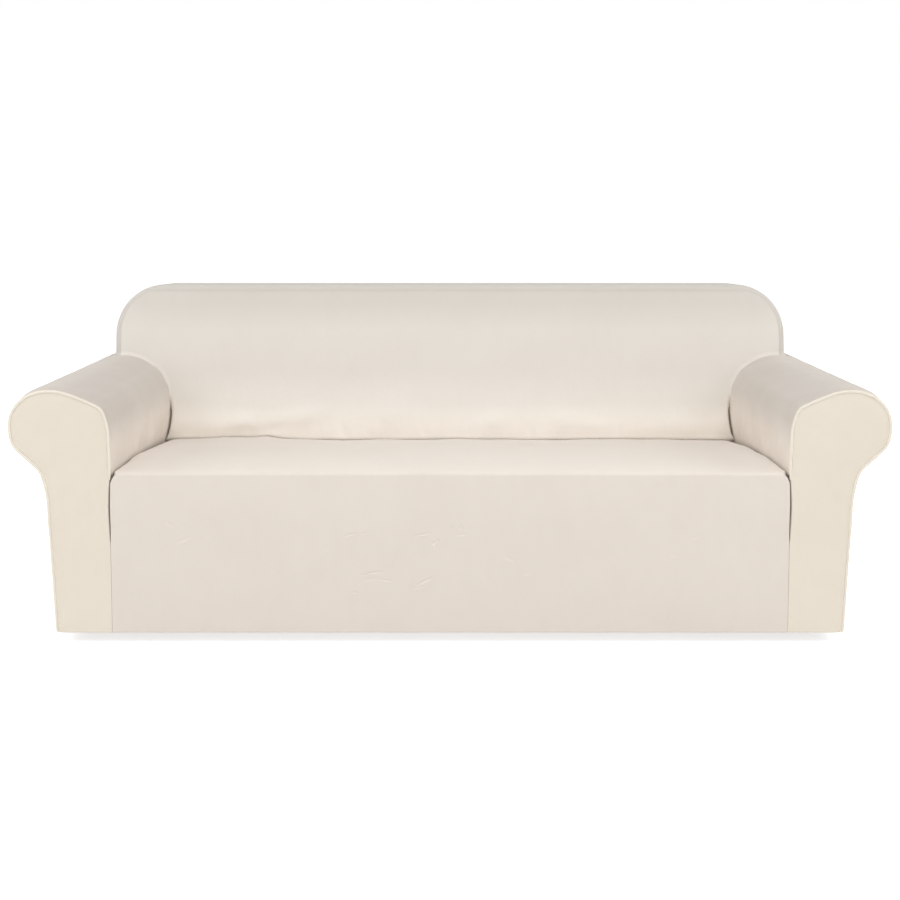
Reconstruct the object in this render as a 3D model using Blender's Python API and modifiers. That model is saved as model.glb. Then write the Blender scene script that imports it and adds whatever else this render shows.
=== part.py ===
"""Fitted stretch slipcover for a three-seat sofa with rolled arms, in the shape in which it hangs.

Nine cut pieces of one plush knit make a hollow cover that is open along the bottom: a seat and skirt
panel, an inside back, an outside back, two arm panels over the rolls, two scroll-shaped arm fronts and
the welts in their seams. Metres, +Z up, the front faces -Y, left is -X. The origin is the middle of
the seat deck's underside, where the sofa's seat carries the cover. Sizes below are depths behind the
front of the skirt and heights above the hem, and an empty carries the pieces from there to the origin.
"""

import math

import bmesh
import bpy
import numpy as np

# Driving dimensions.
CLOTH = 0.0025  # thickness of the plush knit
SEAM_GAP = 0.0004  # between two pieces where they are sewn
TUCK_GAP = 0.0020  # between the seat and an arm, down in the tuck
INTO_TUCK = 0.008  # how far the cloth goes on down between the seat and an arm, below its turn
REAR_TUCK = 0.020  # how far the deck goes down in front of the back
REAR_INSET = 0.010  # how much narrower it is there, to clear the back's flares
CARRIED_DEPTH = 0.345  # the middle of the deck, where the sofa's seat carries the cover
DEPTH = 0.900  # from the front of the skirt to the inside of the rear panel
SEAT_HEIGHT = 0.438  # the seat's front fold
SEAT_DEPTH = 0.605  # from the front to the tuck under the back
SEAT_FOLD = 0.008  # radius of the front fold
SEAT_REAR_TURN = 0.015  # radius at which the deck turns down into the rear tuck
SEAT_CORNER = 0.018  # how far the seat's two front corners are drawn in
SEAT_CORNER_REACH = 0.030  # and how far from the front fold that is over
BACK_HEIGHT = 0.875
BACK_HALF_WIDTH = 1.040
BACK_CORNER = 0.150  # radius of the two upper corners
BACK_EDGE = 0.020  # radius at which the inside back turns over the crest and the sides
CREST_FALL = 0.006  # how much lower the crest is at its rear seam than in front
WELT = 0.004  # radius of the welt round an arm front
WELT_START = 0.430  # height of the welt's inner end, in the seat's front corner
ARM_PADDING = 0.003  # how far the padded arm stands outside its front seam, at its sides
CROWN_PADDING = 0.010  # and on top of the roll
ROLL_TOP = 0.605  # what is above this height is the roll's top
PADDING_RISE = 0.030  # the depth behind the front seam over which the padding comes up
PADDING_FOOT = 0.100  # and the height above the hem
INNER_DRIFT = 0.012  # how much further out the inner arm face is at the rear tuck than in front
DRIFT_END = 1.000  # distance out at which that has come to nothing
DRIFT_FADE = 0.100  # and over what width it does
TUCK_FLARE = 0.006  # radius of the back panel's flare on to the arm, down in the tuck
ROLL_FLARE = 0.020  # and where the back stands on the roll
FLARE_GROWTH = 0.150  # the height above the tuck over which the one becomes the other
FOLD_SIDE_TURN = 0.006  # width and depth of the turn at the sides of the front fold
SKIRT_EDGE = 0.0005  # how far the skirt's side edges go on behind their turn
SEAT_COLUMNS = 17  # rows of points from front to back on the seat and skirt, between its side turns
BACK_COLUMNS = 33  # and from bottom to top on the inside back

# The scroll-shaped section of an arm, from the seam beside the skirt, over the roll, to the outer hem.
ARM_OUTLINE = (
    # name, out from the middle, above the hem
    ("inner hem", 0.9010, 0.0000),
    ("foot of the slit", 0.8915, 0.2700),
    ("open slit", 0.8905, 0.3500),
    ("seat corner", 0.8820, 0.4250),
    ("inner face", 0.8785, 0.5000),
    ("inner shoulder", 0.8820, 0.5720),
    ("inner turn", 0.8975, 0.6055),
    ("inner top", 0.9260, 0.6215),
    ("rise", 0.9580, 0.6380),
    ("crown", 1.0050, 0.6510),
    ("outer crown", 1.0600, 0.6465),
    ("outer shoulder", 1.1045, 0.6230),
    ("outer turn", 1.1280, 0.5900),
    ("widest", 1.1350, 0.5500),
    ("under turn", 1.1285, 0.5120),
    ("under roll", 1.0980, 0.4770),
    ("neck", 1.0640, 0.4400),
    ("column top", 1.0515, 0.3900),
    ("column", 1.0490, 0.2900),
    ("outer hem", 1.0480, 0.0000),
)

# The deck, from the front fold to its turn down into the rear tuck.
SEAT_PROFILE = (
    # name, behind the front, above the hem
    ("front edge", 0.0080, 0.4380),
    ("nose", 0.0700, 0.4415),
    ("crown", 0.1800, 0.4425),
    ("middle", 0.3450, 0.4345),
    ("hollow", 0.4700, 0.4215),
    ("rear", 0.5880, 0.4080),
)

# The inside back, from the tuck to the start of its turn over the crest.
BACK_PROFILE = (
    # name, behind the front, above the hem
    ("down in the tuck", 0.6085, 0.3850),
    ("tuck", 0.6070, 0.4050),
    ("lower swell", 0.6020, 0.4450),
    ("middle", 0.6410, 0.6000),
    ("upper", 0.6830, 0.7600),
    ("under the crest", 0.7130, 0.8540),
)

# The seat and skirt panel's rows over the deck and down the skirt. At each side edge a row turns
# down, or in on the skirt, by a quarter of an ellipse.
DECK_ROWS = (
    # name, behind the front, width of the side turn, its depth
    ("rear", 0.588, 0.045, 0.030),
    ("hollow", 0.520, 0.045, 0.028),
    ("rear middle", 0.430, 0.042, 0.024),
    ("middle", 0.345, 0.036, 0.019),
    ("fore middle", 0.260, 0.028, 0.016),
    ("crown", 0.180, 0.022, 0.013),
    ("nose", 0.100, 0.016, 0.012),
    ("fore nose", 0.050, 0.012, 0.010),
    ("behind the fold", 0.025, 0.008, 0.008),
)
SKIRT_ROWS = (
    # name, above the hem, width of the side turn, its depth
    ("below the fold", 0.405, 0.0060, 0.0060),
    ("open slit", 0.340, 0.0060, 0.0060),
    ("foot of the slit", 0.275, 0.0040, 0.0040),
    ("closed seam", 0.245, 0.0015, 0.0015),
    ("upper middle", 0.160, 0.0015, 0.0015),
    ("lower middle", 0.080, 0.0015, 0.0015),
    ("hem", 0.000, 0.0015, 0.0015),
)

# Low swells of the deck over the sofa's seat cushions.
DECK_SWELLS = (
    # name, across from the middle, behind the front, half width, half depth, stands up
    ("rear left", -0.640, 0.600, 0.190, 0.110, 0.0100),
    ("rear middle", 0.020, 0.560, 0.120, 0.090, 0.0025),
    ("rear right", 0.520, 0.590, 0.160, 0.090, 0.0020),
)

# Soft upright folds on the inner face of each arm, where the cloth is drawn down into the tuck, and
# the broad swell of the arm before it meets the back.
ARM_FOLDS = (
    # name, behind the front, above the hem, half width along the arm, half height, stands out
    ("front ridge", 0.120, 0.505, 0.038, 0.050, 0.0035),
    ("front trough", 0.200, 0.500, 0.034, 0.045, -0.0035),
    ("middle ridge", 0.290, 0.505, 0.042, 0.052, 0.0040),
    ("rear trough", 0.385, 0.492, 0.036, 0.045, -0.0040),
    ("rear ridge", 0.460, 0.498, 0.036, 0.050, 0.0030),
    ("swell before the back", 0.620, 0.515, 0.260, 0.075, 0.0210),
)

# Low swells along the bottom of the inside back, above the tuck.
BACK_SWELLS = (
    # name, across from the middle, above the hem, half width, half height, stands out
    ("far left", -0.740, 0.452, 0.070, 0.030, 0.0040),
    ("left", -0.540, 0.455, 0.110, 0.032, 0.0080),
    ("left of middle", -0.170, 0.485, 0.070, 0.045, 0.0050),
    ("middle", 0.130, 0.465, 0.050, 0.032, 0.0050),
    ("right of middle", 0.380, 0.462, 0.080, 0.030, 0.0045),
    ("far right", 0.700, 0.452, 0.080, 0.030, 0.0040),
)


def smooth_curve(table, per_span=12):
    """A smooth curve through a table's places, per_span points from each place to the next."""
    knots = np.array([row[1:] for row in table])
    spans = np.linalg.norm(np.diff(knots, axis=0), axis=1)
    slopes = np.diff(knots, axis=0) / spans[:, None]
    before, after = spans[:-1, None], spans[1:, None]
    inner = (slopes[:-1] * after + slopes[1:] * before) / (before + after)
    tangents = np.vstack([slopes[:1], inner, slopes[-1:]])
    t = np.linspace(0.0, 1.0, per_span, endpoint=False)[:, None]
    curve = []
    for i, span in enumerate(spans):
        leaving = (2 * t**3 - 3 * t**2 + 1) * knots[i] + (t**3 - 2 * t**2 + t) * span * tangents[i]
        reaching = (3 * t**2 - 2 * t**3) * knots[i + 1] + (t**3 - t**2) * span * tangents[i + 1]
        curve.append(leaving + reaching)
    return np.vstack([*curve, knots[-1:]])


def outward(curve):
    """The unit normals on the left of a curve, which on an arm's outline is the outside."""
    along = np.gradient(curve, axis=0)
    along /= np.linalg.norm(along, axis=1)[:, None]
    return np.column_stack([-along[:, 1], along[:, 0]])


def stations(curve, count, turn_share=0.05):
    """count rows along a curve, closer together where it turns: (out, up, normal out, normal up).
    turn_share is the length that counts as much as a turn of one radian."""
    normals = outward(curve)
    steps = np.linalg.norm(np.diff(curve, axis=0), axis=1)
    turns = np.linalg.norm(np.diff(normals, axis=0), axis=1)
    travelled = np.concatenate([[0.0], np.cumsum(steps + turn_share * turns)])
    wanted = np.linspace(0.0, travelled[-1], count)
    return np.column_stack([np.interp(wanted, travelled, c) for c in np.hstack([curve, normals]).T])


ARM_CURVE = smooth_curve(ARM_OUTLINE)
ARM_TOP = int(np.argmax(ARM_CURVE[:, 1]))
INNER_HALF = ARM_CURVE[: ARM_TOP + 1]
TOP_CURVE = ARM_CURVE[ARM_CURVE[:, 1] > ROLL_TOP]
SEAT_CURVE = smooth_curve(SEAT_PROFILE)
BACK_CURVE = smooth_curve(BACK_PROFILE)
CORNER_OUT = BACK_HALF_WIDTH - BACK_EDGE  # where the inside back starts to turn over its side


def inner_point(up):
    """The place on the inner side of an arm's outline at a height."""
    return float(np.interp(up, INNER_HALF[:, 1], INNER_HALF[:, 0])), up


def top_point(out):
    """The place on top of an arm's outline at a distance out."""
    return out, float(np.interp(out, TOP_CURVE[:, 0], TOP_CURVE[:, 1]))


def outline_between(start, end):
    """The arm's outline from one of its places to another further along."""
    first = int(np.argmin(np.linalg.norm(ARM_CURVE - start, axis=1)))
    last = int(np.argmin(np.linalg.norm(ARM_CURVE - end, axis=1)))
    return np.vstack([[start], ARM_CURVE[first + 1 : last], [end]])


# The stations that all the pieces round an arm share, so that sewn edges run side by side.
NOTCH_SWING = BACK_EDGE + ROLL_FLARE + SEAM_GAP
NOTCH_ANGLES = (30, 60, 90)
QUARTER_TURN = (90, 60, 30)
NOTCH_OUTS = [CORNER_OUT + NOTCH_SWING * math.sin(math.radians(a)) for a in NOTCH_ANGLES]
TUCK_PLACE = inner_point(WELT_START)
CORNER_PLACE = top_point(CORNER_OUT)
NOTCH_PLACE = top_point(NOTCH_OUTS[-1])
BESIDE_SKIRT = stations(outline_between(ARM_OUTLINE[0][1:], TUCK_PLACE), count=9)
BESIDE_BACK = stations(outline_between(TUCK_PLACE, CORNER_PLACE), count=11)
BESIDE_BACK[-1, 2:] = 0.0, 1.0
ROUND_BACK = np.array([[*top_point(out), 0.0, 1.0] for out in NOTCH_OUTS])
OUTSIDE = stations(outline_between(NOTCH_PLACE, ARM_OUTLINE[-1][1:]), count=21)[1:]
STANDING_UP = CORNER_PLACE[1] + CROWN_PADDING + ROLL_FLARE  # the foot of the back's upright side


def deck_height(depth):
    return float(np.interp(depth, SEAT_CURVE[:, 0], SEAT_CURVE[:, 1]))


def back_depth(height):
    """The depth of the inside back at a height, without its swells."""
    return float(np.interp(height, BACK_CURVE[:, 1], BACK_CURVE[:, 0]))


def drift(out, depth):
    """How far an arm's outline moves out at a depth: all of it on the inner face, none at the crown."""
    share = min(1.0, max(0.0, (DRIFT_END - out) / DRIFT_FADE))
    return INNER_DRIFT * share * min(1.0, depth / SEAT_DEPTH)


def padding(normal_up):
    """How far the padded arm stands outside its outline, more where it faces up."""
    return ARM_PADDING + (CROWN_PADDING - ARM_PADDING) * max(0.0, normal_up)


def flare(height):
    """The radius at which the back panel flares on to an arm at a height."""
    share = min(1.0, max(0.0, (height - WELT_START) / FLARE_GROWTH))
    return TUCK_FLARE + (ROLL_FLARE - TUCK_FLARE) * share


def bumps(table, across, up):
    """The sum of a table's soft ridges and troughs at a place."""
    return sum(
        stands * math.exp(-(((across - x) / wide) ** 2) - ((up - z) / tall) ** 2)
        for _, x, z, wide, tall, stands in table
    )


def arm_surface(station, depth):
    """The padded arm's place (out, up) at a station of its outline and a depth."""
    out, up, normal_out, normal_up = station
    behind_seam = min(1.0, max(0.0, depth - 2 * WELT) / PADDING_RISE)
    stands = padding(normal_up) * behind_seam * min(1.0, up / PADDING_FOOT)
    stands += max(0.0, -normal_out) * bumps(ARM_FOLDS, depth, up)
    return out + drift(out, depth) + normal_out * stands, max(0.0, up + normal_up * stands)


def make_collection(name):
    collection = bpy.data.collections.new(name)
    bpy.context.scene.collection.children.link(collection)
    return collection


def make_material(name, colour):
    material = bpy.data.materials.new(name)
    material.use_nodes = True
    shader = material.node_tree.nodes["Principled BSDF"]
    shader.inputs["Base Color"].default_value = colour
    shader.inputs["Roughness"].default_value = 0.85
    shader.inputs["Metallic"].default_value = 0.0
    return material


def make_object(name, data, material):
    piece = bpy.data.objects.new(name, data)
    COVER.objects.link(piece)
    piece.parent = CARRIER
    data.materials.append(material)
    return piece


def sheet(name, grids):
    """A cloth piece from grids of points on its outer side, joined where they meet, with the cloth's
    thickness added inwards. A grid is (rows of points, cells left out, whether it is mirrored)."""
    mesh = bmesh.new()
    for rows, left_out, mirrored in grids:
        corners = [[mesh.verts.new(point) for point in row] for row in rows]
        for i in range(len(rows) - 1):
            for j in range(len(rows[0]) - 1):
                ring = [corners[i][j], corners[i][j + 1], corners[i + 1][j + 1], corners[i + 1][j]]
                if (i, j) not in left_out:
                    mesh.faces.new(ring[::-1] if mirrored else ring)
    bmesh.ops.remove_doubles(mesh, verts=mesh.verts, dist=0.00001)
    loose = [vert for vert in mesh.verts if not vert.link_faces]
    bmesh.ops.delete(mesh, geom=loose, context="VERTS")
    data = bpy.data.meshes.new(name)
    mesh.to_mesh(data)
    mesh.free()
    data.shade_smooth()
    piece = make_object(name, data, PLUSH)
    wall = piece.modifiers.new("cloth", "SOLIDIFY")
    wall.thickness = CLOTH
    wall.offset = -1.0
    wall.use_even_offset = True
    return piece


def flat_sheet(name, outline, depth):
    """An upright flat piece with the outline's places (out, up), its outer side facing the front."""
    data = bpy.data.curves.new(name, "CURVE")
    data.dimensions = "2D"
    data.fill_mode = "BOTH"
    data.extrude = CLOTH / 2
    spline = data.splines.new("POLY")
    spline.points.add(len(outline) - 1)
    for point, (out, up) in zip(spline.points, outline):
        point.co = (out, up, 0.0, 1.0)
    spline.use_cyclic_u = True
    piece = make_object(name, data, PLUSH)
    piece.location = (0.0, depth + CLOTH / 2, 0.0)
    piece.rotation_euler = (math.pi / 2, 0.0, 0.0)
    return piece


def side_drop(depth):
    """How deep the deck's sides turn down at a depth."""
    rows = DECK_ROWS[::-1]
    return float(np.interp(depth, [row[1] for row in rows], [row[3] for row in rows]))


def seat_rows():
    """The rows of the seat and skirt panel, from the rear tuck to the hem: depth, height, how far its
    side edges turn down and in, the width and depth of their turn, and how far they go on."""
    last_depth, last_up = SEAT_PROFILE[-1][1:]
    rear_turn = DECK_ROWS[0][2:]
    rows = [(last_depth + SEAT_REAR_TURN, last_up - REAR_TUCK, 1.0, 0.0, *rear_turn, INTO_TUCK)]
    for degrees in (0, 45):
        a = math.radians(degrees)
        depth = last_depth + SEAT_REAR_TURN * math.cos(a)
        height = last_up - SEAT_REAR_TURN * (1 - math.sin(a))
        rows.append((depth, height, 1.0, 0.0, *rear_turn, INTO_TUCK))
    for _, depth, width, drop in DECK_ROWS:
        rows.append((depth, deck_height(depth), 1.0, 0.0, width, drop, INTO_TUCK))
    for degrees in (90, 45, 0):
        a = math.radians(degrees)
        depth = SEAT_FOLD * (1 - math.cos(a))
        height = SEAT_HEIGHT - SEAT_FOLD * (1 - math.sin(a))
        turned = (FOLD_SIDE_TURN, FOLD_SIDE_TURN, SKIRT_EDGE)
        rows.append((depth, height, math.sin(a), math.cos(a), *turned))
    for _, height, width, drop in SKIRT_ROWS:
        rows.append((0.0, height, 0.0, 1.0, width, drop, SKIRT_EDGE))
    return rows


def seat_panel():
    """The deck and the skirt in one length of cloth, with its edges turned down into the tucks."""
    grid = []
    for depth, height, downward, inward, width, drop, goes_on in seat_rows():
        beside = (*inner_point(height), -1.0, 0.0)
        half = arm_surface(beside, depth)[0] - (SEAM_GAP if depth == 0.0 else TUCK_GAP)
        corner = max(0.0, 1.0 - math.hypot(depth, height - SEAT_HEIGHT) / SEAT_CORNER_REACH)
        half -= SEAT_CORNER * corner**1.5 + (REAR_INSET if depth > SEAT_PROFILE[-1][1] else 0.0)
        edge = [(half, drop + goes_on)]
        for degrees in QUARTER_TURN:
            a = math.radians(degrees)
            edge.append((half - width * (1 - math.sin(a)), drop * (1 - math.cos(a))))
        flat = [(x, 0.0) for x in np.linspace(width - half, half - width, SEAT_COLUMNS)]
        row = [(-x, by) for x, by in edge] + flat + edge[::-1]
        tops = [height + bumps(DECK_SWELLS, x, depth) for x, _ in row]
        grid.append([(x, depth + inward * by, top - downward * by) for (x, by), top in zip(row, tops)])
    return sheet("seat_panel", [(grid, (), True)])


def flare_end(out, up, normal_up):
    """The depth at which an arm panel meets the foot of the back panel's flare."""
    if out > CORNER_OUT:
        swing = math.sqrt(max(0.0, NOTCH_SWING**2 - (out - CORNER_OUT) ** 2))
        return back_depth(STANDING_UP) + BACK_EDGE - swing
    radius = flare(up)
    return back_depth(up + normal_up * (padding(normal_up) + radius)) - radius - SEAM_GAP


def arm_panel(side, name):
    """Inside arm, roll and outside arm in one piece, notched where the back stands on the roll."""
    front = 2 * WELT + SEAM_GAP
    front_rows, rear_rows = 16, 3
    notch = len(BESIDE_BACK) + len(ROUND_BACK)
    path = np.vstack([BESIDE_BACK[:1], BESIDE_BACK, ROUND_BACK, OUTSIDE])
    ends = [flare_end(min(out, NOTCH_OUTS[-1]), up, facing) for out, up, _, facing in path[: notch + 1]]
    ends += [ends[-1]] * (len(path) - len(ends))
    grid = []
    for i in range(front_rows + rear_rows + 1):
        row = []
        for j, station in enumerate(path):
            depth = front + (ends[j] - front) * min(1.0, i / front_rows)
            if i > front_rows:
                depth += (DEPTH - SEAM_GAP - ends[j]) * (i - front_rows) / rear_rows
            if j == 0:
                bottom = deck_height(depth) - side_drop(depth) - INTO_TUCK
                station = (*inner_point(bottom), -1.0, 0.0)
            out, up = arm_surface(station, depth)
            row.append((side * out, depth, up))
        grid.append(row)
    left_out = {(i, j) for i in range(front_rows, front_rows + rear_rows) for j in range(notch)}
    return sheet(name, [(grid, left_out, side < 0)])


def arm_front(side, name):
    """The scroll-shaped front, butted to the skirt below the seat and set inside the welt above it."""
    inset = [(place, SEAM_GAP) for place in BESIDE_SKIRT[:-1]]
    inset += [(place, WELT + SEAM_GAP) for place in (*BESIDE_BACK, *ROUND_BACK, *OUTSIDE)]
    outline = [(side * (p[0] - p[2] * by), max(0.0, p[1] - p[3] * by)) for p, by in inset]
    return flat_sheet(name, outline, 0.0)


def arm_welt(side, name):
    """The welt in the seam round an arm front, from the seat's corner over the roll to the hem."""
    data = bpy.data.curves.new(name, "CURVE")
    data.dimensions = "3D"
    data.bevel_depth = WELT
    data.bevel_resolution = 1
    data.use_fill_caps = True
    path = np.vstack([BESIDE_BACK, ROUND_BACK, OUTSIDE])
    spline = data.splines.new("POLY")
    spline.points.add(len(path) - 1)
    for point, (out, up, _, _) in zip(spline.points, path):
        point.co = (side * out, WELT, up, 1.0)
    return make_object(name, data, WELT_PLUSH)


def back_corner(inset):
    """The places (out, up) and normals round the right upper corner, set in from the back's outline."""
    reach = BACK_CORNER - inset
    rows = []
    for degrees in (0, 18, 36, 54, 72, 90):
        a = math.radians(degrees)
        out = BACK_HALF_WIDTH - BACK_CORNER + reach * math.cos(a)
        rows.append((out, BACK_HEIGHT - BACK_CORNER + reach * math.sin(a), math.cos(a), math.sin(a)))
    return rows


def turned_edge(out, up, normal_out, normal_up, face):
    """The places from the flat of the back, round its edge and on to the rear seam."""
    places = [(out, face, up)]
    for degrees in NOTCH_ANGLES:
        a = math.radians(degrees)
        beyond = BACK_EDGE * math.sin(a)
        depth = face + BACK_EDGE * (1 - math.cos(a))
        places.append((out + normal_out * beyond, depth, up + normal_up * beyond))
    last = places[-1]
    rear = DEPTH - SEAM_GAP
    for share in (0.5, 1.0):
        fall = CREST_FALL * normal_up * share
        places.append((last[0], last[1] + (rear - last[1]) * share, last[2] - fall))
    return places


def back_face(out, up):
    """The depth of the inside back at a place, with its swells."""
    return back_depth(up) - bumps(BACK_SWELLS, out, up)


def flare_rows():
    """The right edge of the back's flat where it meets an arm: for each station its foot on the arm,
    the outline's normal there and the flare's radius, from the tuck up and over the roll."""
    tuck = (*inner_point(BACK_PROFILE[1][2]), -1.0, 0.0)
    places = (tuck, *BESIDE_BACK)
    return [(arm_surface(place, SEAT_DEPTH), place[2:], flare(place[1])) for place in places]


def front_flare(side):
    """The strip from the flat of the back forward on to an arm."""
    strip = []
    for (out, up), (normal_out, normal_up), radius in flare_rows():
        face = back_face(side * (out + normal_out * radius), up + normal_up * radius)
        row = []
        for degrees in (0, *NOTCH_ANGLES):
            a = math.radians(degrees)
            lift = radius * (1 - math.sin(a))
            depth = face - radius * (1 - math.cos(a))
            row.append((side * (out + normal_out * lift), depth, up + normal_up * lift))
        strip.append(row)
    return strip


def side_band(side):
    """The turn of the back over its side, from its foot on the roll up and round the upper corner."""
    rows = []
    upright = (CORNER_OUT, STANDING_UP, 1.0, 0.0)
    for out, up, normal_out, normal_up in (upright, *back_corner(BACK_EDGE)):
        rows.append(turned_edge(out, up, normal_out, normal_up, back_face(side * out, up)))
    feet = []
    for degrees in QUARTER_TURN:
        a = math.radians(degrees)
        spread = ROLL_FLARE * (1 - math.cos(a))
        foot = []
        for k, (out, depth, _) in enumerate(rows[0]):
            swing = math.radians((0, *NOTCH_ANGLES)[min(k, len(NOTCH_ANGLES))])
            out = out + spread * math.sin(swing)
            up = top_point(out)[1] + CROWN_PADDING + ROLL_FLARE * (1 - math.sin(a))
            foot.append((out, depth - spread * math.cos(swing), up))
        feet.append(foot)
    return [[(side * out, depth, up) for out, depth, up in row] for row in feet + rows]


def back_panel():
    """The inside back: its flat, its flares on to the arms, and its turns over sides and crest."""
    edge = [(out + n[0] * radius, up + n[1] * radius) for (out, up), n, radius in flare_rows()]
    edge += [(out, up) for out, up, _, _ in back_corner(BACK_EDGE)]
    fractions = np.linspace(-1.0, 1.0, BACK_COLUMNS)
    flat = [[(x, back_face(x, up), up) for x in fractions * out] for out, up in edge]
    lowest_up = BACK_PROFILE[0][2]
    flat.insert(0, [(x, back_depth(lowest_up), lowest_up) for x, _, _ in flat[0]])
    crest = [turned_edge(x, up, 0.0, 1.0, face) for x, face, up in flat[-1]]
    grids = [(flat, (), False), (list(zip(*crest)), (), False)]
    for side in (1, -1):
        grids.append((front_flare(side), (), side < 0))
        grids.append((side_band(side), (), side < 0))
    return sheet("back_panel", grids)


def rear_panel():
    """The flat outside back, from crest to hem, with the rear ends of both arms."""
    half = []
    for station in OUTSIDE[::-1]:
        half.append(arm_surface(station, DEPTH))
    for degrees in (*QUARTER_TURN, 0):
        a = math.radians(degrees)
        out = BACK_HALF_WIDTH + ROLL_FLARE * (1 - math.cos(a))
        up = top_point(out)[1] + CROWN_PADDING + ROLL_FLARE * (1 - math.sin(a))
        half.append((out, up))
    half += [(out, up - CREST_FALL * normal_up) for out, up, _, normal_up in back_corner(0.0)]
    outline = half + [(-out, up) for out, up in half[::-1]]
    return flat_sheet("rear_panel", outline, DEPTH)


for old in list(bpy.data.objects):
    bpy.data.objects.remove(old)
COVER = make_collection("sofa_slipcover")
PLUSH = make_material("plush knit", (0.80, 0.73, 0.63, 1.0))
WELT_PLUSH = make_material("plush knit welt", (0.84, 0.77, 0.67, 1.0))
CARRIER = bpy.data.objects.new("carrier", None)
COVER.objects.link(CARRIER)
CARRIER.location = (0.0, -CARRIED_DEPTH, CLOTH - deck_height(CARRIED_DEPTH))

seat_panel()
back_panel()
rear_panel()
for side, word in ((-1, "left"), (1, "right")):
    arm_panel(side, f"arm_panel_{word}")
    arm_front(side, f"arm_front_{word}")
    arm_welt(side, f"arm_welt_{word}")
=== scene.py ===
"""Looks of a fitted stretch slipcover for a three-seat sofa with rolled arms.

The cover is sewn from ivory plush knit: two arm panels, two scroll-shaped arm fronts with a welt round
each, a seat and skirt panel, an inside back and an outside back. Places on the cover are given as the
distance out from its middle, the depth behind the front of the skirt and the height above the hem.
Lengths are in metres, and the turns in the tables are in degrees.
"""

import math

import bmesh
import bpy
import numpy as np
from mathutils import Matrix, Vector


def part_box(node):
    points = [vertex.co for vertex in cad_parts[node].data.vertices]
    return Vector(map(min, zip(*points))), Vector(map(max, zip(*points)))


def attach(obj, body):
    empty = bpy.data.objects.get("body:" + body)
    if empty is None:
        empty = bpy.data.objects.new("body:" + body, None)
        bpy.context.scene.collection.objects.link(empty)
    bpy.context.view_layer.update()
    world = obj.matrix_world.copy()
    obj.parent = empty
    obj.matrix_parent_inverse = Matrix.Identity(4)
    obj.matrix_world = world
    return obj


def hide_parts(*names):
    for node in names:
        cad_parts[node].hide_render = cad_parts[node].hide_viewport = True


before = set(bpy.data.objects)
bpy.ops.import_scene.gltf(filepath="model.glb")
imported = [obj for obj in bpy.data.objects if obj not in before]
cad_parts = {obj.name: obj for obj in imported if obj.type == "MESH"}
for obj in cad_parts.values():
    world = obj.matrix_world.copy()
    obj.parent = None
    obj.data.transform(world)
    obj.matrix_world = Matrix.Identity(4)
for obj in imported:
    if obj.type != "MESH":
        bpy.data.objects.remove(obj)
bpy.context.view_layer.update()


# Arm panels. Each is one length of plush knit that comes up out of the tuck beside the seat, goes over
# the roll of the arm and down its outside to the hem. It is stretched over the padded arm, sewn to the
# welt in front and to both back panels behind, and its lower edge is turned under.

CLOTH = 0.0018  # thickness of the plush knit
SEAM_GAP = 0.0004  # between two pieces where they are sewn
SEAM_TURN = 0.0026  # radius at which an edge turns in to its seam
SEAM_ALLOWANCE = 0.008
HEM_TURN = 0.0022  # radius of the fold at the hem
HEM_WIDTH = 0.018
WELT = 0.004  # radius of the welt in front
SEAT_DEPTH = 0.605  # from the front to the tuck under the back
BACK_HALF_WIDTH = 1.040
BACK_EDGE = 0.020  # radius at which the inside back turns over the crest and the sides
WELT_START = 0.430  # height of the seat's front corner, where the welt starts
ARM_PADDING = 0.003  # how far the padded arm stands outside its front seam, at its sides
CROWN_PADDING = 0.010  # and on top of the roll
PADDING_RISE = 0.034  # the depth behind the front seam over which the padding comes up
PADDING_FOOT = 0.100  # and the height above the hem
ROLL_TOP = 0.605  # what is above this height is the roll's top
INNER_DRIFT = 0.012  # how much further out the inner arm face is at the rear tuck than in front
DRIFT_FULL, DRIFT_GONE = 0.900, 1.000  # distances out between which that comes to nothing
TUCK_FLARE = 0.007  # radius of the back panel's turn beside the arm, down in the tuck
ROLL_FLARE = 0.011  # and where the back stands on the roll
FLARE_GROWN = 0.580  # the height by which the one becomes the other
FLARE_RISE = 0.004  # how much higher the flare reaches at the back's side than its radius
FLARE_RISES = 0.960  # distance out from which it does
CREVICE = 0.0062  # how wide the crevice between an arm and the back gapes, down in the tuck
CREVICE_DEPTH = 0.030  # how far the back panel goes into it
CREVICE_LAP = 0.008  # and how much further the arm panel does
CREVICE_OPEN, CREVICE_CLOSED = 0.470, 0.615  # heights between which it closes
CREVICE_SEWN, CREVICE_PARTED = 0.408, 0.426  # down behind the deck, where its sides come together
UNDERCUT = 0.014  # how far the arm panel draws back under the arm, beside the seat
UNDERCUT_ENDS = 0.040  # the length before the back over which that comes to nothing
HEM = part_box("arm_front_right")[0].z
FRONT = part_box("arm_front_right")[0].y
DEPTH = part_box("rear_panel")[0].y - FRONT  # from the front of the skirt to the outside back

# The scroll-shaped section of an arm, from the seam beside the skirt, over the roll, to the outer hem.
ARM_OUTLINE = (
    # name, out from the middle, above the hem
    ("inner hem", 0.901, 0.0),
    ("foot of the slit", 0.8915, 0.27),
    ("open slit", 0.8905, 0.35),
    ("seat corner", 0.8848, 0.425),
    ("inner face", 0.8828, 0.5),
    ("inner shoulder", 0.886, 0.57),
    ("inner turn", 0.899, 0.604),
    ("inner top", 0.926, 0.6198),
    ("rise", 0.958, 0.6338),
    ("crown", 1.005, 0.6488),
    ("outer crown", 1.06, 0.6465),
    ("outer shoulder", 1.1045, 0.623),
    ("outer turn", 1.128, 0.59),
    ("widest", 1.135, 0.55),
    ("under turn", 1.1285, 0.512),
    ("under roll", 1.098, 0.477),
    ("neck", 1.064, 0.44),
    ("column top", 1.0515, 0.39),
    ("column", 1.049, 0.29),
    ("outer hem", 1.048, 0.0),
)
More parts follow.
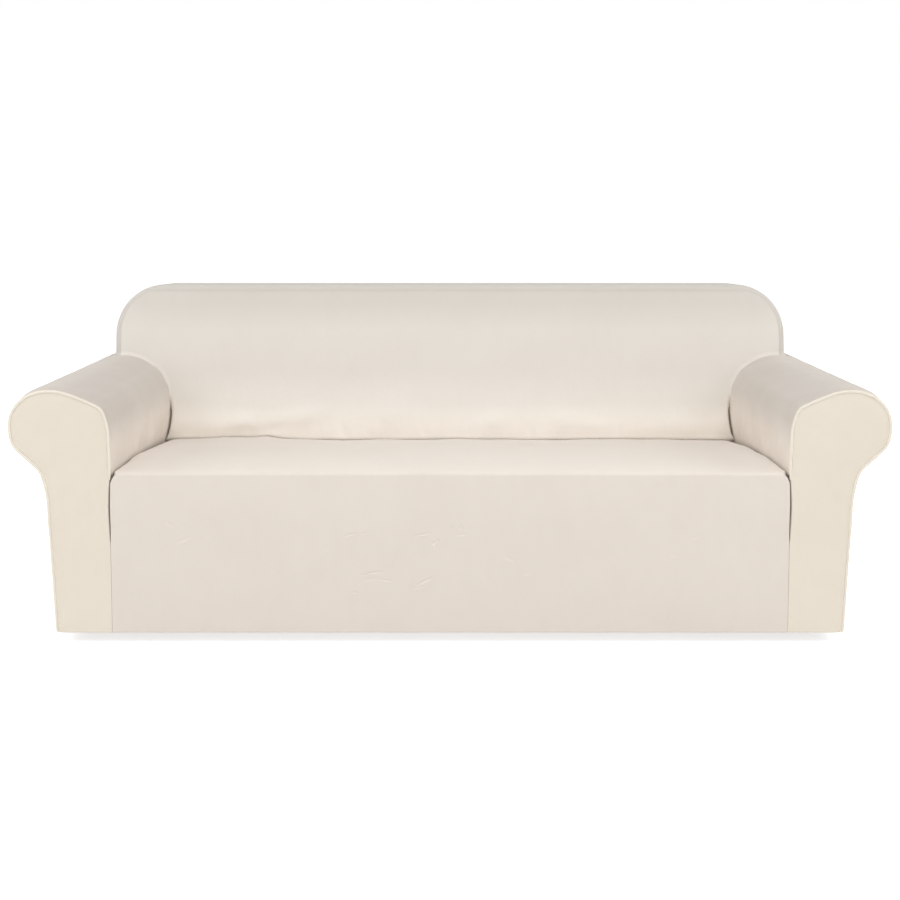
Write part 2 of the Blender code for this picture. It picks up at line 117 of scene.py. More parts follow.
# The inner edge of an arm panel, down in the tuck beside the seat.
ARM_FOOT = (
    # name, behind the front, above the hem
    ("front", 0.0, 0.418),
    ("fore", 0.2, 0.413),
    ("middle", 0.4, 0.39),
    ("rear", 0.6, 0.358),
)
# The slope of the inside back, against which the arm panels end.
BACK_PROFILE = (
    # name, behind the front, above the hem
    ("down in the tuck", 0.618, 0.385),
    ("tuck", 0.612, 0.398),
    ("lower roll", 0.605, 0.406),
    ("lower swell", 0.603, 0.424),
    ("middle", 0.641, 0.6),
    ("upper", 0.683, 0.76),
    ("under the crest", 0.713, 0.854),
)
# Soft upright folds on the inner face of each arm, where the cloth is drawn down into the tuck, and
# the broad swell of the arm before it meets the back.
ARM_FOLDS = (
    # name, behind the front, above the hem, half width along the arm, half height, turned, stands out
    ("front ridge", 0.12, 0.505, 0.038, 0.05, 0, 0.0056),
    ("front trough", 0.2, 0.5, 0.034, 0.045, 0, -0.0056),
    ("middle ridge", 0.29, 0.505, 0.042, 0.052, 0, 0.0064),
    ("rear trough", 0.385, 0.492, 0.036, 0.045, 0, -0.0064),
    ("rear ridge", 0.46, 0.498, 0.036, 0.05, 0, 0.0048),
    ("rear swell", 0.62, 0.505, 0.3, 0.11, 0, 0.025),
    ("fine fold", 0.165, 0.462, 0.009, 0.03, -9, 0.0019),
    ("fine fold", 0.247, 0.47, 0.01, 0.036, -5, -0.0026),
    ("fine fold", 0.27, 0.468, 0.009, 0.034, -3, 0.0026),
    ("fine fold", 0.332, 0.466, 0.009, 0.04, 2, -0.0027),
    ("fine fold", 0.352, 0.47, 0.008, 0.042, 4, 0.0024),
    ("fine fold", 0.418, 0.46, 0.01, 0.036, 7, 0.003),
    ("fine fold", 0.444, 0.456, 0.008, 0.03, 8, -0.0026),
    ("fine fold", 0.502, 0.462, 0.01, 0.042, 12, -0.0029),
    ("fine fold", 0.53, 0.47, 0.009, 0.038, 15, 0.0022),
)
# The rise of the roll's inner side towards the back.
ROLL_SWELLS = (
    # name, behind the front, out from the middle, half width along the arm, half across, turned, stands up
    ("rear rise", 0.66, 0.95, 0.26, 0.066, 0, 0.011),
)


def measures(table):
    """The columns of a table after its names."""
    return np.array([row[1:] for row in table]).T


def smooth_curve(table, per_span=40):
    """A smooth curve through a table's places, per_span points from each place to the next."""
    knots = measures(table).T
    spans = np.linalg.norm(np.diff(knots, axis=0), axis=1)
    slopes = np.diff(knots, axis=0) / spans[:, None]
    before, after = spans[:-1, None], spans[1:, None]
    inner = (slopes[:-1] * after + slopes[1:] * before) / (before + after)
    tangents = np.vstack([slopes[:1], inner, slopes[-1:]])
    t = np.linspace(0.0, 1.0, per_span, endpoint=False)[:, None]
    curve = []
    for i, span in enumerate(spans):
        leaving = (2 * t**3 - 3 * t**2 + 1) * knots[i] + (t**3 - 2 * t**2 + t) * span * tangents[i]
        reaching = (3 * t**2 - 2 * t**3) * knots[i + 1] + (t**3 - t**2) * span * tangents[i + 1]
        curve.append(leaving + reaching)
    return np.vstack([*curve, knots[-1:]])


def ramp(value, start, end):
    """How far a value has come from start to end, from 0 to 1."""
    return np.clip((value - start) / (end - start), 0.0, 1.0)


def eased(share):
    """A share from 0 to 1 that leaves and arrives softly."""
    return share**2 * (3 - 2 * share)


def travelled(line):
    """How far each point of a line is along it."""
    return np.concatenate([[0.0], np.cumsum(np.linalg.norm(np.diff(line, axis=0), axis=1))])


ARM_CURVE = smooth_curve(ARM_OUTLINE)
ARM_NORMALS = np.gradient(ARM_CURVE, axis=0)[:, ::-1] * (-1.0, 1.0)
ARM_NORMALS /= np.linalg.norm(ARM_NORMALS, axis=1)[:, None]
ARM_TRAVELLED = travelled(ARM_CURVE)
ARM_TOP = int(np.argmax(ARM_CURVE[:, 1]))
BACK_CURVE = smooth_curve(BACK_PROFILE)
FOOT_CURVE = smooth_curve(ARM_FOOT)


def outline_at(distance):
    """The places on an arm's outline at distances along it: out, up, normal out, normal up."""
    along = np.hstack([ARM_CURVE, ARM_NORMALS]).T
    return np.array([np.interp(distance, ARM_TRAVELLED, values) for values in along])


def along_outline(out=None, up=None):
    """The distance along an arm's outline of the place at a height inside, or at a distance out on top."""
    if out is None:
        return np.interp(up, ARM_CURVE[:ARM_TOP, 1], ARM_TRAVELLED[:ARM_TOP])
    top = ARM_CURVE[:, 1] > ROLL_TOP
    return np.interp(out, ARM_CURVE[top, 0], ARM_TRAVELLED[top])


def relief(marks, across, up):
    """The sum of a table's soft ridges and troughs at a place, each turned by its degrees."""
    total = np.zeros(np.broadcast(across, up).shape)
    for _, middle, height, half_width, half_height, turned, stands in marks:
        c, s = math.cos(math.radians(turned)), math.sin(math.radians(turned))
        x, z = across - middle, up - height
        along, over = (x * c + z * s) / half_width, (z * c - x * s) / half_height
        total += stands * np.exp(-(along**2) - over**2)
    return total


def unevenness(across, up, length, seed, waves=14):
    """A soft irregular swell between about -1 and 1, of about that wavelength, the same each time."""
    draws = np.random.default_rng(seed)
    total = np.zeros(np.broadcast(across, up).shape)
    for _ in range(waves):
        heading, phase = draws.random(2) * 2 * math.pi
        step = 2 * math.pi / (length * (0.6 + 0.9 * draws.random()))
        total += np.sin((across * math.cos(heading) + up * math.sin(heading)) * step + phase)
    return total / math.sqrt(waves)


def back_depth(height):
    """The depth of the inside back at a height, without its swells."""
    return np.interp(height, BACK_CURVE[:, 1], BACK_CURVE[:, 0])


def flare(height):
    """The radius at which the back panel flares on to an arm at a height."""
    return TUCK_FLARE + (ROLL_FLARE - TUCK_FLARE) * ramp(height, WELT_START, FLARE_GROWN)


def padding(normal_up):
    """How far the padded arm stands outside its outline, more where it faces up."""
    return ARM_PADDING + (CROWN_PADDING - ARM_PADDING) * np.maximum(0.0, normal_up)


def arm_surface(place, depth):
    """The padded arm's places (out, depth, up) at places on its outline and depths."""
    out, up, normal_out, normal_up = place
    behind_seam = ramp(depth, 2 * WELT, 2 * WELT + PADDING_RISE)
    stands = padding(normal_up) * (1 - (1 - behind_seam) ** 2) * ramp(up, 0.0, PADDING_FOOT)
    stands = stands + np.maximum(0.0, -normal_out) * relief(ARM_FOLDS, depth, up)
    stands = stands + np.maximum(0.0, normal_up) * relief(ROLL_SWELLS, depth, out)
    stands = stands + 0.0006 * behind_seam * unevenness(out + depth, up, 0.11, seed=3)
    drift = INNER_DRIFT * ramp(out, DRIFT_GONE, DRIFT_FULL) * np.minimum(1, depth / SEAT_DEPTH)
    across = out + drift + normal_out * stands
    return together(across, depth, np.maximum(0.0, up + normal_up * stands))


def crevice(height):
    """How far open the crevice between an arm and the back is at a height, from 0 to 1."""
    return eased(ramp(height, CREVICE_CLOSED, CREVICE_OPEN))


def crevice_gap(height):
    """How wide the crevice gapes at a height, down to where its sides are sewn together."""
    return CREVICE * ramp(height, CREVICE_SEWN, CREVICE_PARTED) * crevice(height)


def roll_top(out):
    """The height of the top of the padded roll at a distance out, where the back stands on it."""
    places = outline_at(along_outline(out=out))
    places[2], places[3] = 0.0, 1.0
    return arm_surface(places, SEAT_DEPTH)[..., 2]


def together(*coordinates):
    """Places from arrays of their coordinates."""
    return np.stack(np.broadcast_arrays(*coordinates), axis=-1)


def unit(vectors):
    return vectors / np.maximum(1e-12, np.linalg.norm(vectors, axis=-1, keepdims=True))


def facing(places):
    """The unit normals of a grid of places, rows crossed with columns."""
    return unit(np.cross(np.gradient(places, axis=0), np.gradient(places, axis=1)))


def cloth_of(sheet, flat, outer):
    """The places of a sheet, each with its flat place and its outward normal."""
    return np.dstack([sheet, flat, np.broadcast_to(outer, sheet.shape)])


def placed(name, data, place=(0.0, 0.0, 0.0), turns=(0.0, 0.0, 0.0)):
    """A new object in the scene, with its turns in degrees."""
    thing = bpy.data.objects.new(name, data)
    bpy.context.scene.collection.objects.link(thing)
    thing.location, thing.rotation_euler = place, [math.radians(turn) for turn in turns]
    return thing


def sewn(name, grids, material, mirrored=False, thickness=CLOTH):
    """One cloth piece from grids of places on its outer side, joined where they meet, with the cloth's
    thickness added inwards. A grid is (places, its flat places, whether it winds the other way)."""
    mesh = bmesh.new()
    flat_layer = mesh.loops.layers.uv.new("cut")
    for places, flat, reversed_winding in grids:
        places = places * ((-1.0, 1.0, 1.0) if mirrored else (1.0, 1.0, 1.0)) + (0.0, FRONT, HEM)
        rows, columns = places.shape[:2]
        corners = [mesh.verts.new(place) for place in places.reshape(-1, 3)]
        flat = flat.reshape(-1, 2)
        for i in range(rows - 1):
            for j in range(i * columns, i * columns + columns - 1):
                ring = (j, j + 1, j + columns + 1, j + columns)
                if reversed_winding != mirrored:
                    ring = ring[::-1]
                face = mesh.faces.new([corners[k] for k in ring])
                for loop, k in zip(face.loops, ring):
                    loop[flat_layer].uv = flat[k]
    bmesh.ops.remove_doubles(mesh, verts=mesh.verts, dist=0.00002)
    data = bpy.data.meshes.new(name)
    mesh.to_mesh(data)
    mesh.free()
    data.shade_smooth()
    data.materials.append(material)
    piece = placed(name, data)
    if thickness:
        wall = piece.modifiers.new("cloth", "SOLIDIFY")
        wall.thickness = thickness
        wall.offset = -1.0
        bpy.context.view_layer.objects.active = piece
        bpy.ops.object.modifier_apply(modifier=wall.name)
    return piece


class Socket:
    """An output of a shader node, with arithmetic that adds Math nodes."""

    def __init__(self, tree, output=None):
        self.tree, self.output = tree, output

    def add(self, kind, settings=None, inputs=None, output=0):
        """A new node of that type: its settings first, then the values or links of its sockets."""
        node = self.tree.nodes.new(kind)
        for name, value in (settings or {}).items():
            if name == "stops":
                band = node.color_ramp
                band.interpolation = "LINEAR"
                band.elements.remove(band.elements[1])
                for k, (place, shade) in enumerate(value):
                    element = band.elements.new(place) if k else band.elements[0]
                    element.position, element.color = place, (shade, shade, shade, 1.0)
            else:
                setattr(node, name, value)
        self.fill(node, inputs or {})
        return Socket(self.tree, node.outputs[output])

    def fill(self, node, inputs):
        """The node's sockets get those values or links."""
        for key, value in inputs.items():
            if isinstance(value, Socket):
                self.tree.links.new(value.output, node.inputs[key])
            else:
                node.inputs[key].default_value = value

    def mixed(self, share, first, second):
        """The colour at that share of the way from the first to the second."""
        values = {"Factor": share, "A": (*first, 1.0), "B": (*second, 1.0)}
        return self.add("ShaderNodeMix", {"data_type": "RGBA"}, values, 2)

    def math(self, operation, first, second=0.0):
        return self.add("ShaderNodeMath", {"operation": operation}, {0: first, 1: second})

    def __add__(self, other):
        return self.math("ADD", self, other)

    def __sub__(self, other):
        return self.math("SUBTRACT", self, other)

    def __rsub__(self, other):
        return self.math("SUBTRACT", other, self)

    def __mul__(self, other):
        return self.math("MULTIPLY", self, other)

    def __abs__(self):
        return self.math("ABSOLUTE", self)

    __radd__ = __add__
    __rmul__ = __mul__


def plush(name, colour, deep, painted_light_and_shade=((0.0, 1.0), (1.0, 1.0)), creases_with_highlights=(), mottle=0.9):
    """Fine-pile stretch plush: a short pile with soft brushed patches, in one colour that is a little
    deeper where the pile lies away. A table of painted light and shade gives shades at places up the
    cut: bands of colour painted lighter or darker to stand in for how the light falls. A crease is pushed
    into the pile at a place out from the middle and above the hem, with half its length, half its width,
    its turn in degrees and its depth; along it the colour is painted lighter as a highlight, or darker as
    painted shade where the depth is negative."""
    material = bpy.data.materials.new(name)
    material.use_nodes = True
    made = Socket(material.node_tree)
    cut = made.add("ShaderNodeTexCoord", output="UV")
    solid = made.add("ShaderNodeTexCoord", output="Object")

    def noise(vector, scale, detail=2.0, roughness=0.5):
        values = {"Vector": vector, "Scale": scale, "Detail": detail, "Roughness": roughness}
        return made.add("ShaderNodeTexNoise", inputs=values)

    brushed = made.add("ShaderNodeMapping", inputs={"Vector": cut, "Scale": (1.0, 0.35, 1.0)})
    patches = noise(solid, 3.2, 3.0)
    strokes = noise(brushed, 26.0, 4.0, 0.6)
    pile = noise(brushed, 620.0, 2.0, 0.7)
    tone = 0.5 + (patches - 0.5) * mottle + (strokes - 0.5) * 0.55 + (pile - 0.5) * 0.6
    blend = made.mixed(tone, deep, colour)
    across_up = made.add("ShaderNodeSeparateXYZ", inputs={"Vector": cut}, output="Y")
    low, high = painted_light_and_shade[0][0], painted_light_and_shade[-1][0]
    shades = [((place - low) / (high - low), shade / PAINTED_SHADE_SPAN) for place, shade in painted_light_and_shade]
    place_up = (across_up - low) * (1.0 / (high - low)) + (patches - 0.5) * 0.015
    shade = made.add("ShaderNodeValToRGB", {"stops": shades}, {"Fac": place_up})
    crease_depth_and_highlight = 0.0
    for _, out, up, half_length, half_width, turned, depth in creases_with_highlights:
        spot = {
            "Vector": solid,
            "Location": (out, 0.0, HEM + up),
            "Rotation": (0.0, -math.radians(turned), 0.0),
            "Scale": (half_length, 100.0, half_width),
        }
        inside = made.add("ShaderNodeMapping", {"vector_type": "TEXTURE"}, spot)
        away = made.add("ShaderNodeVectorMath", {"operation": "LENGTH"}, {0: inside}, "Value")
        fade = {"Value": away, "From Min": 1.0, "From Max": 0.0, "To Max": depth}
        crease_depth_and_highlight = made.add("ShaderNodeMapRange", {"interpolation_type": "SMOOTHSTEP"}, fade) + crease_depth_and_highlight
    # The table's painted light and shade, scaled up along each crease as a painted highlight, or down as
    # painted shade where a crease's depth is negative.
    lighter = {0: shade, "Scale": crease_depth_and_highlight * 45.0 + PAINTED_SHADE_SPAN}
    painted_shade_and_highlights = made.add("ShaderNodeVectorMath", {"operation": "SCALE"}, lighter)
    toned = made.add("ShaderNodeVectorMath", {"operation": "MULTIPLY"}, {0: blend, 1: painted_shade_and_highlights})
    dents = noise(solid, 34.0, 2.0)
    surface = pile * 0.0005 + strokes * 0.0012 + dents * 0.0012 - crease_depth_and_highlight
    finish = {
        "Base Color": toned,
        "Roughness": 0.86 + (strokes - 0.5) * 0.12,
        "Normal": made.add("ShaderNodeBump", inputs={"Height": surface, "Strength": 0.6, "Distance": 1.0}),
        "Sheen Weight": 0.35,
        "Sheen Roughness": 0.45,
        "Sheen Tint": (1.0, 0.97, 0.93, 1.0),
        "Specular IOR Level": 0.25,
    }
    made.fill(material.node_tree.nodes["Principled BSDF"], finish)
    return material


PAINTED_SHADE_SPAN = 1.5  # the lightest shade that a table of painted light and shade may hold
IVORY = (0.758, 0.694, 0.628)
IVORY_DEEP = (0.718, 0.650, 0.582)
# The arms' painted light and shade: distances from the outer hem over the roll to the tuck, each with
# its shade. It is painted darker over the crown and the inner shoulder, where less light falls, and
# lighter low on the inner face, against the shade beside the tuck.
ARM_PAINTED_LIGHT_AND_SHADE = (
    (0.00, 0.98), (0.55, 0.92), (0.72, 0.75), (0.85, 0.73),
    (0.92, 0.79), (0.98, 1.03), (1.06, 1.13), (1.20, 1.16),
)
PLUSH = plush("plush knit on the arms", IVORY, (0.690, 0.622, 0.555), ARM_PAINTED_LIGHT_AND_SHADE, mottle=2.0)

TUCK_PLACE = along_outline(up=WELT_START)
CORNER_OUT = BACK_HALF_WIDTH - BACK_EDGE  # where the inside back starts to turn over its side
NOTCH_SWING = BACK_EDGE + ROLL_FLARE + SEAM_GAP + 2 * SEAM_TURN
CORNER_PLACE = along_outline(out=CORNER_OUT)
NOTCH_PLACE = along_outline(out=CORNER_OUT + NOTCH_SWING)
BESIDE_BACK = np.linspace(TUCK_PLACE, CORNER_PLACE, 54)  # where the arm and the back meet, step by step
STANDING_UP = float(roll_top(CORNER_OUT)) + ROLL_FLARE + FLARE_RISE
REAR_SEAM = DEPTH - SEAM_GAP - SEAM_TURN  # where the side pieces start to turn in to the rear seam
HEM_FOLD = dict(radius=HEM_TURN, goes_on=HEM_WIDTH, sweep=180, steps=8)


def arm_ends(places):
    """The depths at which an arm panel starts to turn in to its seam with the back."""
    out, up, _, normal_up = places
    radius = flare(up)
    foot = back_depth(up + normal_up * (padding(normal_up) + radius)) - radius - SEAM_GAP - 2 * SEAM_TURN
    foot = foot + (back_depth(up) + CREVICE_DEPTH + CREVICE_LAP - foot) * crevice(up)
    swing = np.sqrt(np.maximum(0.0, NOTCH_SWING**2 - np.maximum(0.0, out - CORNER_OUT) ** 2))
    return np.where(out > CORNER_OUT, back_depth(STANDING_UP) + BACK_EDGE - swing, foot)


def edge(row, away, flat_step, winding, radius=SEAM_TURN, goes_on=SEAM_ALLOWANCE, sweep=90, steps=6):
    """A grid for the cloth that turns in along an edge by so many degrees and then goes straight on. The
    edge is a row of places, each with its flat place and its outward normal. It turns away in the given
    directions, or to that side of the row, and goes on in the cut by flat_step."""
    line, line_flat, outer = np.split(row, (3, 5), axis=1)
    if np.ndim(away) == 0:
        away = away * unit(np.cross(np.gradient(line, axis=0), outer))
    radius = np.broadcast_to(radius, len(line))[:, None]
    goes_on = np.broadcast_to(goes_on, len(line))[:, None]
    strip = [line]
    for a in np.radians(np.linspace(0, sweep, steps + 1)[1:]):
        strip.append(line + away * radius * math.sin(a) - outer * radius * (1 - math.cos(a)))
    onward = away * math.cos(a) - outer * math.sin(a)
    strip = np.array([*strip, *(strip[-1] + onward * goes_on * share for share in (0.5, 1.0))])
    return strip, line_flat + travelled(strip[:, 0])[:, None, None] * np.array(flat_step), winding


def arm_panel(side, name):
    """Inside arm, roll and outside arm in one piece, notched where the back stands on the roll."""
    front = 2 * WELT + SEAM_GAP + SEAM_TURN
    at_notch = np.linspace(CORNER_PLACE, NOTCH_PLACE, 10)[:-1]
    past_notch = np.linspace(NOTCH_PLACE, ARM_TRAVELLED[-1] - HEM_TURN, 112)
    over = np.concatenate([BESIDE_BACK[:-1], at_notch, past_notch])
    notch = len(over) - len(past_notch)
    places = outline_at(over)
    ends = arm_ends(places[:, : notch + 1])
    ends = np.concatenate([ends, np.full(len(past_notch) - 1, ends[-1])])
    depths = front + (ends - front) * np.linspace(0.0, 1.0, 88)[:, None] ** 1.2
    sheet = arm_surface(places[:, None, :], depths)
    from_hem = ARM_TRAVELLED[-1] - over
    flat = together(depths, from_hem)

    rise = np.linspace(0.0, 1.0, 9)[None, :-1]
    feet = np.interp(depths[:, :1], FOOT_CURVE[:, 0], FOOT_CURVE[:, 1])
    heights = feet + (WELT_START - feet) * rise
    inner = outline_at(along_outline(up=heights))
    tuck = arm_surface(inner, depths[:, :1])
    before_back = ramp(depths[:, :1], SEAT_DEPTH, SEAT_DEPTH - UNDERCUT_ENDS)
    tuck[..., 0] += UNDERCUT * (1 - rise) ** 1.5 * before_back
    tuck_flat = together(depths[:, :1], from_hem[0] + WELT_START - heights)
    sheet = np.concatenate([tuck, sheet], axis=1)
    flat = np.concatenate([tuck_flat, flat], axis=1)

    rear_depths = ends[-1] + (REAR_SEAM - ends[-1]) * np.linspace(0.0, 1.0, 26)[:, None]
    rear = arm_surface(places[:, None, notch:], rear_depths)
    rear_flat = together(rear_depths, from_hem[notch:])

    split = notch + rise.size
    sheet[-1, :split, 0] -= crevice_gap(sheet[-1, :split, 2])
    cloth, behind = cloth_of(sheet, flat, -facing(sheet)), cloth_of(rear, rear_flat, -facing(rear))
    grids = [
        (sheet, flat, False),
        (rear, rear_flat, False),
        edge(cloth[0], 1, (-1, 0), True),
        edge(np.vstack([cloth[-1, :split], behind[:, 0]]), -1, (1, 0), False),
        edge(behind[-1], -1, (1, 0), False),
        edge(np.vstack([cloth[:-1, -1], behind[:, -1]]), 1, (0, -1), True, **HEM_FOLD),
    ]
    return sewn(name, grids, PLUSH, mirrored=side < 0)


def fitted(piece, node):
    """The piece rides with the cover and stands for its plain solid."""
    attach(piece, "root")
    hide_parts(node)
    return piece


for side, word in ((-1, "left"), (1, "right")):
    panel = fitted(arm_panel(side, f"plush_arm_panel_{word}"), f"arm_panel_{word}")


# Arm fronts. A scroll-shaped piece of the same plush closes the front of each arm, with its nap brushed
# the other way. It is sewn inside the welt round the roll and straight on to the skirt below the slit.

FRONT_SIT = 0.0020  # how far the front lies back where it is sewn to the welt
FRONT_SIT_REACH = 0.011
FRONT_TURN = 0.0006  # radius at which it turns in there
SKIRT_TURN = 0.0006  # radius at which the front and the skirt turn in to the seam between them
SLIT_FOOT, SLIT_TOP = 0.250, 0.436  # heights between which that seam stands open
SLIT_OPENS = 0.0016  # how far each side of it draws back
SLIT_TURN = 0.0040  # and the radius at which it turns in there
FRONT_TOP = (0.926, 1.1045)  # distances out between which the front's edge is its top
FRONT_SMOOTH = 0.030  # the front has no creases beside the welt, and they are all there this far from it
FRONT_CREASED = (0.905, 0.935)  # nor beside the skirt: they begin between these distances out
WELT_SHARE = 0.92  # the part of the welt's radius by which the front's edge lies inside the welt's line
SKIRT_ALLOWANCE, WELT_ALLOWANCE = 0.014, 0.0012  # cloth past the turns at the skirt and the welt
FRONT_CREASES = (
    # name, out from the middle, above the hem, half width, half height, turned, stands out
    ("neck hollow", 1.04, 0.425, 0.03, 0.055, 28, -0.0016),
    ("neck", 1.022, 0.392, 0.008, 0.045, 52, 0.0008),
    ("neck", 1.0, 0.368, 0.009, 0.04, 60, -0.0008),
    ("slit", 0.922, 0.33, 0.01, 0.05, -8, -0.001),
    ("slit", 0.945, 0.3, 0.01, 0.045, 14, 0.0009),
    ("column", 0.985, 0.2, 0.016, 0.08, -6, 0.001),
    ("column", 1.015, 0.12, 0.014, 0.07, 8, -0.0009),
    ("foot", 0.925, 0.06, 0.012, 0.045, 10, -0.001),
)


def slit(up):
    """How far open the slit is at a height, from 0 to 1."""
    return np.sin(ramp(up, SLIT_FOOT, SLIT_TOP) ** 0.7 * math.pi) ** 0.7


def front_edge(distance):
    """The places where an arm front starts to turn in to its seam, with the turn's radius."""
    out, up, normal_out, normal_up = outline_at(distance)
    beside_welt = eased(ramp(distance, TUCK_PLACE - 0.020, TUCK_PLACE + 0.020))
    open_slit = np.where(distance < TUCK_PLACE + 0.010, slit(up), 0.0)
    radius = SKIRT_TURN + (SLIT_TURN - SKIRT_TURN) * open_slit
    radius = radius + (FRONT_TURN - radius) * beside_welt
    inset = SEAM_GAP / 2 + WELT_SHARE * WELT * beside_welt + SLIT_OPENS * open_slit + radius
    return together(out - normal_out * inset, up - normal_up * inset), radius


def arm_front(side, name):
    """The scroll-shaped front, spread evenly between its inner side, its outer side and its top."""
    inner_top, outer_top = along_outline(out=FRONT_TOP)
    left = np.linspace(HEM_TURN, inner_top, 124)
    right = np.linspace(ARM_TRAVELLED[-1] - HEM_TURN, outer_top, len(left))
    top = np.linspace(inner_top, outer_top, 40)
    (left_line, _), (right_line, _), (top_line, _) = front_edge(left), front_edge(right), front_edge(top)
    u = np.linspace(0.0, 1.0, len(top))[None, :, None]
    v = np.linspace(0.0, 1.0, len(left))[:, None, None]
    bottom_line = left_line[0] * (1 - u[0]) + right_line[0] * u[0]
    spread = left_line[:, None] * (1 - u) + right_line[:, None] * u
    spread = spread + bottom_line[None] * (1 - v) + top_line[None] * v
    spread = spread - bottom_line[:1] * (1 - u) * (1 - v) - bottom_line[-1:] * u * (1 - v)
    spread = spread - top_line[:1] * (1 - u) * v - top_line[-1:] * u * v

    welted = ARM_CURVE[ARM_TRAVELLED > TUCK_PLACE][::6]
    away = spread[:, :, None] - welted
    near = np.sqrt((away**2).sum(axis=-1).min(axis=-1))
    sits = FRONT_SIT * np.exp(-((np.maximum(0.0, near - WELT) / FRONT_SIT_REACH) ** 2))
    across, up = spread[..., 0], spread[..., 1]
    level = ramp(near, 0.0, FRONT_SMOOTH) * ramp(across, *FRONT_CREASED)
    stands = relief(FRONT_CREASES, across + 0.004 * side, up)
    stands = stands + 0.0006 * unevenness(across, up, 0.09, seed=11 + side)
    sheet = together(across, sits - stands * level, up)

    cloth = cloth_of(sheet, sheet[..., ::2], (0.0, -1.0, 0.0))
    around = np.vstack([cloth[:-1, 0], cloth[-1, :-1], cloth[::-1, -1]])
    distances = np.concatenate([left[:-1], top[:-1], right[::-1]])
    _, _, normal_out, normal_up = outline_at(distances)
    off = together(normal_out, 0.0, normal_up)
    deep = np.where(distances < TUCK_PLACE, SKIRT_ALLOWANCE, WELT_ALLOWANCE)
    grids = [
        (sheet, sheet[..., ::2], False),
        edge(around, off, (0, 1), False, front_edge(distances)[1], deep),
        edge(cloth[0], 1, (0, -1), True, **HEM_FOLD),
    ]
    return sewn(name, grids, FRONT_PLUSH, mirrored=side < 0)


FRONT_PLUSH = plush("plush knit, brushed up", (0.732, 0.670, 0.577), (0.696, 0.630, 0.533))
for side, word in ((-1, "left"), (1, "right")):
    panel = fitted(arm_front(side, f"plush_arm_front_{word}"), f"arm_front_{word}")


# Welts. A cord is wrapped in a bias strip of the plush and sewn into the seam round each arm front. It
# starts as a thin end in the seat's corner, goes over the roll and runs down to the hem.

WELT_END = 0.0016  # radius of the thin end
WELT_TAPER = 0.035  # length over which it comes up to its full radius


def arm_welt(side, name):
    """The covered cord as rings of points round its line."""
    distance = np.linspace(TUCK_PLACE - 0.012, ARM_TRAVELLED[-1] - 0.0005, 330)
    out, up, normal_out, normal_up = outline_at(distance)
    grown = ramp(distance, distance[0], distance[0] + WELT_TAPER)
    radius = WELT_END + (WELT - WELT_END) * grown * (2 - grown)
    radius = radius * (1 + 0.04 * unevenness(distance, 0.0, 0.030, 21 + side))
    radius[-3:] *= (0.96, 0.80, 0.45)
    around = np.radians(np.linspace(0.0, 360.0, 17))[:, None]
    lift, ahead = radius * np.cos(around), radius * np.sin(around)
    rings = together(out + normal_out * lift, WELT - ahead, up + normal_up * lift)
    ends = [np.broadcast_to((out[k], WELT, up[k]), rings[:, :1].shape) for k in (0, -1)]
    rings = np.concatenate([ends[0], rings, ends[1]], axis=1)
    distance = np.concatenate([distance[:1], distance, distance[-1:]])
    flat = together(around * WELT, distance)
    return sewn(name, [(rings, flat, True)], WELT_PLUSH, mirrored=side < 0, thickness=0.0)


WELT_PLUSH = plush("plush knit on the welt", (0.764, 0.708, 0.611), (0.734, 0.673, 0.580))
for side, word in ((-1, "left"), (1, "right")):
    fitted(arm_welt(side, f"plush_arm_welt_{word}"), f"arm_welt_{word}")


# Seat and skirt panel. One length of plush goes from the tuck in front of the back, forward over the
# seat cushions, round their front edge and down to the hem. Its sides are pushed down beside the arms
# and, below the slits, sewn to the arm fronts.

TUCK_GAP = 0.0055  # between the seat and an arm, down in the tuck
INTO_TUCK = 0.030  # how far the cloth goes on down between the seat and an arm, below its turn
UNDER_ARM = 0.024  # and how far out its edge goes there, under the arm panel's edge
UNDER_BACK = 0.040  # and how far it goes back at the rear corners, under the back panel's edge
UNDER_BACK_UP = (0.365, 0.380)  # heights between which that comes to nothing
REAR_CORNER = (0.540, 0.590)  # depths over which it starts
REAR_TUCK = 0.034  # how far the deck goes down in front of the back
REAR_INSET = 0.010  # how much narrower it is there, to clear the back's flares
SEAT_HEIGHT = 0.438
SEAT_FOLD = 0.008
SEAT_REAR_TURN = 0.015
SEAT_CORNER = 0.018  # how far the seat's two front corners are drawn in
SEAT_CORNER_REACH = 0.030  # and how far from the front fold that is over
# The deck, from the front fold to its turn down into the rear tuck.
SEAT_PROFILE = (
    # name, behind the front, above the hem
    ("front edge", 0.008, 0.438),
    ("nose", 0.07, 0.4415),
    ("crown", 0.18, 0.4425),
    ("middle", 0.345, 0.4345),
    ("hollow", 0.47, 0.4215),
    ("rear", 0.588, 0.408),
)
# At each side edge a row of the deck turns down, or in on the skirt, by a quarter of an ellipse.
DECK_SIDES = (
    # name, behind the front, width of the side turn, its depth
    ("fold", 0.0, 0.006, 0.006),
    ("behind the fold", 0.025, 0.008, 0.008),
    ("fore nose", 0.05, 0.012, 0.01),
    ("nose", 0.1, 0.016, 0.012),
    ("crown", 0.18, 0.022, 0.013),
    ("fore middle", 0.26, 0.028, 0.016),
    ("middle", 0.345, 0.032, 0.017),
    ("rear middle", 0.43, 0.034, 0.019),
    ("hollow", 0.52, 0.034, 0.02),
    ("rear", 0.588, 0.034, 0.021),
)
SKIRT_SIDES = (
    # name, above the hem, radius of the side turn
    ("hem", 0.0, 0.0006),
    ("closed seam", 0.245, 0.0006),
    ("foot of the slit", 0.275, 0.003),
    ("open slit", 0.34, 0.006),
    ("fold", 0.438, 0.006),
)
